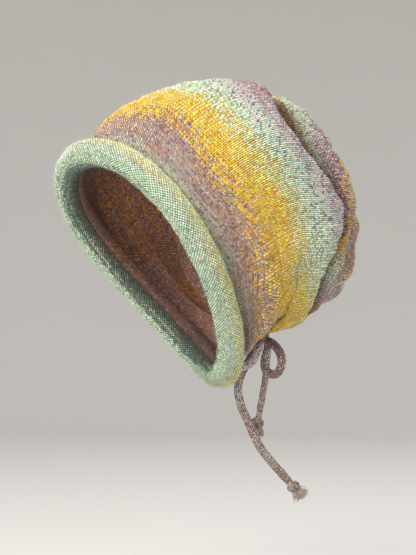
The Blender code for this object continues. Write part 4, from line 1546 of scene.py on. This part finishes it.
def marled_yarn():
    """A group that varies the yarn from stitch to stitch: lighter, darker, redder and flecked.

    A stitch's random colour sets how bright, how far round in hue and how strong its dye is. A
    second random number picks a fleck from the table, each up to its own share of the stitches,
    and a fleck shows less the stronger the dye is. Fine noise along the yarn is its fibre.
    """
    given_sockets = {"Colour": "Color", "Stitch": "Vector", "Place": "Vector"}
    given_sockets |= {"Marl": "Float", "Flecks": "Float"}
    group, given, asked = new_group("Marled yarn", given_sockets, {"Colour": "Color"})
    random = wire(group, "TexWhiteNoise", {"Vector": given["Stitch"]}, noise_dimensions="2D")
    parts = wire(group, "SeparateColor", {0: random.outputs["Color"]}).outputs
    look = {"Color": given["Colour"]}
    look["Value"] = maths(group, "MULTIPLY_ADD", centred(group, parts[0]), given["Marl"], 1.0)
    look["Hue"] = maths(group, "MULTIPLY_ADD", centred(group, parts[1]), HUE_SPREAD, 0.5)
    look["Saturation"] = maths(group, "MULTIPLY_ADD", parts[2], VIVID_SPREAD, VIVID_LEAST)
    tinted = wire(group, "HueSaturation", look)
    shifted = wire(group, "VectorMath", {0: given["Stitch"], 1: SECOND_NUMBER})
    second = wire(group, "TexWhiteNoise", {"Vector": shifted.outputs[0]}, noise_dimensions="2D")
    starts = [0.0] + [share for share, _ in FLECKS]
    stops = [(start, (*as_seen(screen), 1.0)) for start, (_, screen) in zip(starts, FLECKS)]
    picked = ramp(group, second.outputs[0], stops, "CONSTANT")
    flecked = maths(group, "LESS_THAN", second.outputs[0], starts[-1])
    flecked = maths(group, "MULTIPLY", flecked, given["Flecks"])
    dye = wire(group, "SeparateColor", {0: given["Colour"]}, mode="HSV")
    paler = maths(group, "MULTIPLY_ADD", dye.outputs[1], -FLECK_FADE, 1.0)
    flecked = maths(group, "MULTIPLY", flecked, paler)
    colours = mixed(group, "MIX", flecked, tinted.outputs[0], picked)
    fibre = {"Vector": given["Place"], "Scale": FIBRE_SCALE, "Detail": 2.0}
    fibre = wire(group, "TexNoise", fibre).outputs[0]
    fibre = maths(group, "MULTIPLY_ADD", fibre, FIBRE_SPREAD, FIBRE_LEAST)
    colours = mixed(group, "MULTIPLY", 1.0, colours, fibre)
    return finish_group(group, asked, {"Colour": colours})


def placed(tree, builder, name, inputs):
    """A group's node in a material, with the group built the first time it is asked for."""
    group = bpy.data.node_groups.get(name) or builder()
    return wire(tree, "Group", inputs, node_tree=group)


def band_ramp(tree, yarn, bands):
    """The colour of the yarn at so many millimetres along it."""
    longest = bands[-1][0]
    stops = [(place / longest, colour(name)) for place, name in bands]
    return ramp(tree, maths(tree, "DIVIDE", yarn, longest), stops)


def new_material(name, constants):
    """A material and its node tree, with some of the shader's sockets set to constants."""
    made = bpy.data.materials.new(name)
    made.use_nodes = True
    sockets = made.node_tree.nodes["Principled BSDF"].inputs
    for called, value in constants.items():
        sockets[called].default_value = value
    return made, made.node_tree, sockets


def knit_material(name, bands, purl=False):
    """Marled wool: bands of dye along the yarn, stitches as bumps, and a soft sheen of fibres.

    The gaps between stitches get painted shade, darker by their share where a stitch's height is
    least. The hat's inside gets painted warm light and the creases painted shade, by their
    attributes.
    """
    if name in bpy.data.materials:
        return bpy.data.materials[name]
    made, tree, sockets = new_material(name, WOOL)
    place = wire(tree, "UVMap", uv_map="stitches").outputs[0]
    if purl:
        look, stitches = PURL_LOOK, placed(tree, purl_stitches, "Purl stitches", {"Place": place})
    else:
        look, stitches = FACE_LOOK, placed(tree, plain_stitches, "Plain stitches", {"Place": place})
    height, stitch = stitches.outputs["Height"], stitches.outputs["Stitch"]
    given = {"Yarn": attribute(tree, "yarn"), "Place": place, "Stitch": stitch}
    given |= {"Rag": look["Rag"], "Stitch rag": look["Stitch rag"]}
    dyed = band_ramp(tree, placed(tree, ragged_bands, "Ragged bands", given).outputs[0], bands)
    given = {"Colour": dyed, "Stitch": stitch, "Place": place}
    given |= {"Marl": look["Marl"], "Flecks": look["Flecks"]}
    marl = placed(tree, marled_yarn, "Marled yarn", given)
    # Painted shade in the gaps between stitches
    deep = maths(tree, "MULTIPLY_ADD", height, 1 - look["Gap shade"], look["Gap shade"])
    shaded = mixed(tree, "MULTIPLY", 1.0, marl.outputs[0], deep)
    # Painted warm light on the hat's inside, then painted shade in the creases, each by its attribute
    shaded = mixed(tree, "MULTIPLY", attribute(tree, "inside"), shaded, INSIDE_PAINTED_LIGHT)
    shaded = mixed(tree, "MULTIPLY", attribute(tree, "crease"), shaded, CREASE_PAINTED_SHADE)
    tree.links.new(shaded, sockets["Base Color"])
    bump = wire(tree, "Bump", {"Height": height, "Strength": 1.0, "Distance": BUMP_HEIGHT})
    tree.links.new(bump.outputs[0], sockets["Normal"])
    return made


def fibre_material(name, bands, paleness):
    """Loose fibres: the yarn's own dye, faded towards undyed wool."""
    if name in bpy.data.materials:
        return bpy.data.materials[name]
    made, tree, sockets = new_material(name, LOOSE_FIBRE)
    dyed = band_ramp(tree, attribute(tree, "yarn"), bands)
    place = wire(tree, "TexCoord").outputs["Object"]
    along = wire(tree, "TexNoise", {"Vector": place, "Scale": LOOSE_SCALE, "Detail": 1.0})
    share = maths(tree, "MULTIPLY_ADD", along.outputs[0], LOOSE_SPREAD, paleness - LOOSE_SPREAD / 2)
    faded = mixed(tree, "MIX", share, dyed, colour("frayed"))
    tree.links.new(faded, sockets["Base Color"])
    return made


def make_stage():
    """A pale bowl round the hat, in one surface of revolution: floor, round corner and wall.

    Its profile runs out along the floor, up a quarter circle and up the wall.
    """
    arc = np.linspace(0, math.pi / 2, BOWL_CORNER_POINTS)
    out = np.concatenate([[0.0, 1.0], BOWL_RADIUS + np.sin(arc) * BOWL_CORNER])
    out = np.append(out, out[-1])
    up = np.concatenate([[0.0, 0.0], (1 - np.cos(arc)) * BOWL_CORNER, [BOWL_HEIGHT]])
    turn, out, up = turns(BOWL_COLUMNS), out[:, None], (FLOOR_LEVEL + up)[:, None]
    points = joined(out * np.cos(turn), out * np.sin(turn), up).reshape(-1, 3)
    quads = ring_quads(0, len(up), BOWL_COLUMNS)
    faces = quads[..., 1] * BOWL_COLUMNS + quads[..., 2] % BOWL_COLUMNS
    mesh = bpy.data.meshes.new("studio_bowl")
    mesh.from_pydata(points, [], faces[:, ::-1].tolist())
    mesh.shade_smooth()
    mesh.materials.append(new_material("studio_paper", PAPER)[0])
    bowl = in_scene("studio_bowl", mesh)


def view_ways():
    """The camera's right, forward and up, level, at the photograph's azimuth."""
    turn = math.radians(CAMERA_AZIMUTH)
    right = Vector((math.cos(turn), math.sin(turn), 0.0))
    forward = Vector((-math.sin(turn), math.cos(turn), 0.0))
    return right, forward, Vector((0.0, 0.0, 1.0))


def make_lights():
    """Soft light from above and a little to the left, with a weak fill from the right.

    Each is a square light turned to the hat's middle, which the camera doesn't see.
    """
    right, forward, up = view_ways()
    middle = Vector(LIT_MIDDLE)
    for name, (way, size, watts, tint) in LIGHTS.items():
        light = bpy.data.lights.new(name, "AREA")
        light.size, light.energy, light.color = size, watts, tint
        away = right * way[0] + forward * way[1] + up * way[2]
        lamp = in_scene(name, light)
        turn = (-away).to_track_quat("-Z", "Y").to_matrix().to_4x4()
        lamp.matrix_world = Matrix.Translation(middle + away) @ turn
        lamp.visible_camera = False
    world_light = bpy.data.worlds.new("studio_air")
    world_light.use_nodes = True
    air = world_light.node_tree.nodes["Background"]
    air.inputs["Color"].default_value = AIR_TINT
    air.inputs["Strength"].default_value = AIR_STRENGTH
    bpy.context.scene.world = world_light


def make_camera():
    """The photograph's camera: level, its lens and distance such that its scale is right.

    At the hat's middle a pixel is one over PIXELS_PER_METRE, and the brim's middle falls on its
    own pixel.
    """
    right, forward, up = view_ways()
    lens = bpy.data.cameras.new("photo_camera")
    lens.lens, lens.sensor_fit, lens.sensor_height = CAMERA_LENS, "VERTICAL", CAMERA_SENSOR
    away = PHOTO_HEIGHT * CAMERA_LENS / (CAMERA_SENSOR * PIXELS_PER_METRE)
    across = (PHOTO_WIDTH / 2 - BRIM_PIXEL[0]) / PIXELS_PER_METRE
    down = (PHOTO_HEIGHT / 2 - BRIM_PIXEL[1]) / PIXELS_PER_METRE
    place = right * across - up * down - forward * away
    camera = in_scene("photo_camera", lens)
    columns = zip(right, up, -forward, place)
    camera.matrix_world = Matrix([*columns, (0.0, 0.0, 0.0, 1.0)])
    bpy.context.scene.camera = camera


class BEANIE_OT_stage(bpy.types.Operator):
    """Makes the floor, the lights and the camera"""

    bl_idname = "beanie.stage"
    bl_label = "Stage"

    def execute(self, context):
        make_camera()
        make_stage()
        make_lights()
        context.scene.view_settings.view_transform = "Standard"
        return {"FINISHED"}


class BEANIE_OT_cords(bpy.types.Operator):
    """Makes the drawstring, its loops and its tails with their end knots and tufts"""

    bl_idname = "beanie.cords"
    bl_label = "Cords"

    def execute(self, context):
        make_cords()
        return {"FINISHED"}


class BEANIE_OT_bow_knot(bpy.types.Operator):
    """Makes the knot of the bow"""

    bl_idname = "beanie.bow_knot"
    bl_label = "Bow knot"

    def execute(self, context):
        make_bow_knot()
        return {"FINISHED"}


class BEANIE_OT_crown(bpy.types.Operator):
    """Makes the knitted crown, in front of the slouch fold and behind it"""

    bl_idname = "beanie.crown"
    bl_label = "Crown"

    def execute(self, context):
        lower, upper = SEAM_ROW - SEAM_GAP, SEAM_ROW + SEAM_GAP
        make_crown_piece("crown_puff", 0, lower, ["crown"], ending=False)
        make_crown_piece("crown_back", upper, LAST_ROW, ["crown"], ending=True)
        return {"FINISHED"}


class BEANIE_OT_roll(bpy.types.Operator):
    """Makes the curled brim"""

    bl_idname = "beanie.roll"
    bl_label = "Curled brim"

    def execute(self, context):
        make_roll()
        return {"FINISHED"}


class BEANIE_OT_hairs(bpy.types.Operator):
    """Makes the loose fibres that stand off the crown and the brim"""

    bl_idname = "beanie.hairs"
    bl_label = "Loose fibres"

    def execute(self, context):
        crown = fibre_material("crown_fibres", YARN_BANDS, CROWN_PALENESS)
        count = sizes().crown_hairs
        make_hairs("crown_halo", ["crown_puff", "crown_back"], count, crown)
        roll = fibre_material("brim_fibres", ROLL_BANDS, ROLL_PALENESS)
        make_hairs("brim_halo", ["rolled_edge"], sizes().brim_hairs, roll)
        return {"FINISHED"}


class BEANIE_PT_pieces(bpy.types.Panel):
    """Lists the hat's pieces, its sizes and its dyes"""

    bl_idname = "BEANIE_PT_pieces"
    bl_label = "Knit beanie"
    bl_space_type = "VIEW_3D"
    bl_region_type = "UI"
    bl_category = "Beanie"

    def draw(self, context):
        for operator in PIECE_OPERATORS:
            self.layout.operator(operator.bl_idname)
        for settings in (context.scene.beanie_sizes, context.scene.beanie_colours):
            column = self.layout.column()
            for name in settings.__annotations__:
                column.prop(settings, name)


# In the order in which the pieces are made
PIECE_OPERATORS = (
    BEANIE_OT_stage,
    BEANIE_OT_cords,
    BEANIE_OT_bow_knot,
    BEANIE_OT_crown,
    BEANIE_OT_roll,
    BEANIE_OT_hairs,
)
CLASSES = (BeanieSizes, BeanieColours, *PIECE_OPERATORS, BEANIE_PT_pieces)


def register():
    """Adds the classes and the hat's settings."""
    for each in CLASSES:
        bpy.utils.register_class(each)
    bpy.types.Scene.beanie_sizes = bpy.props.PointerProperty(type=BeanieSizes)
    bpy.types.Scene.beanie_colours = bpy.props.PointerProperty(type=BeanieColours)


def unregister():
    """Takes them away again."""
    del bpy.types.Scene.beanie_colours
    del bpy.types.Scene.beanie_sizes
    for each in reversed(CLASSES):
        bpy.utils.unregister_class(each)


def main():
    """Makes every piece."""
    register()
    for operator in PIECE_OPERATORS:
        family, name = operator.bl_idname.split(".")
        getattr(getattr(bpy.ops, family), name)()


if __name__ == "__main__":
    main()
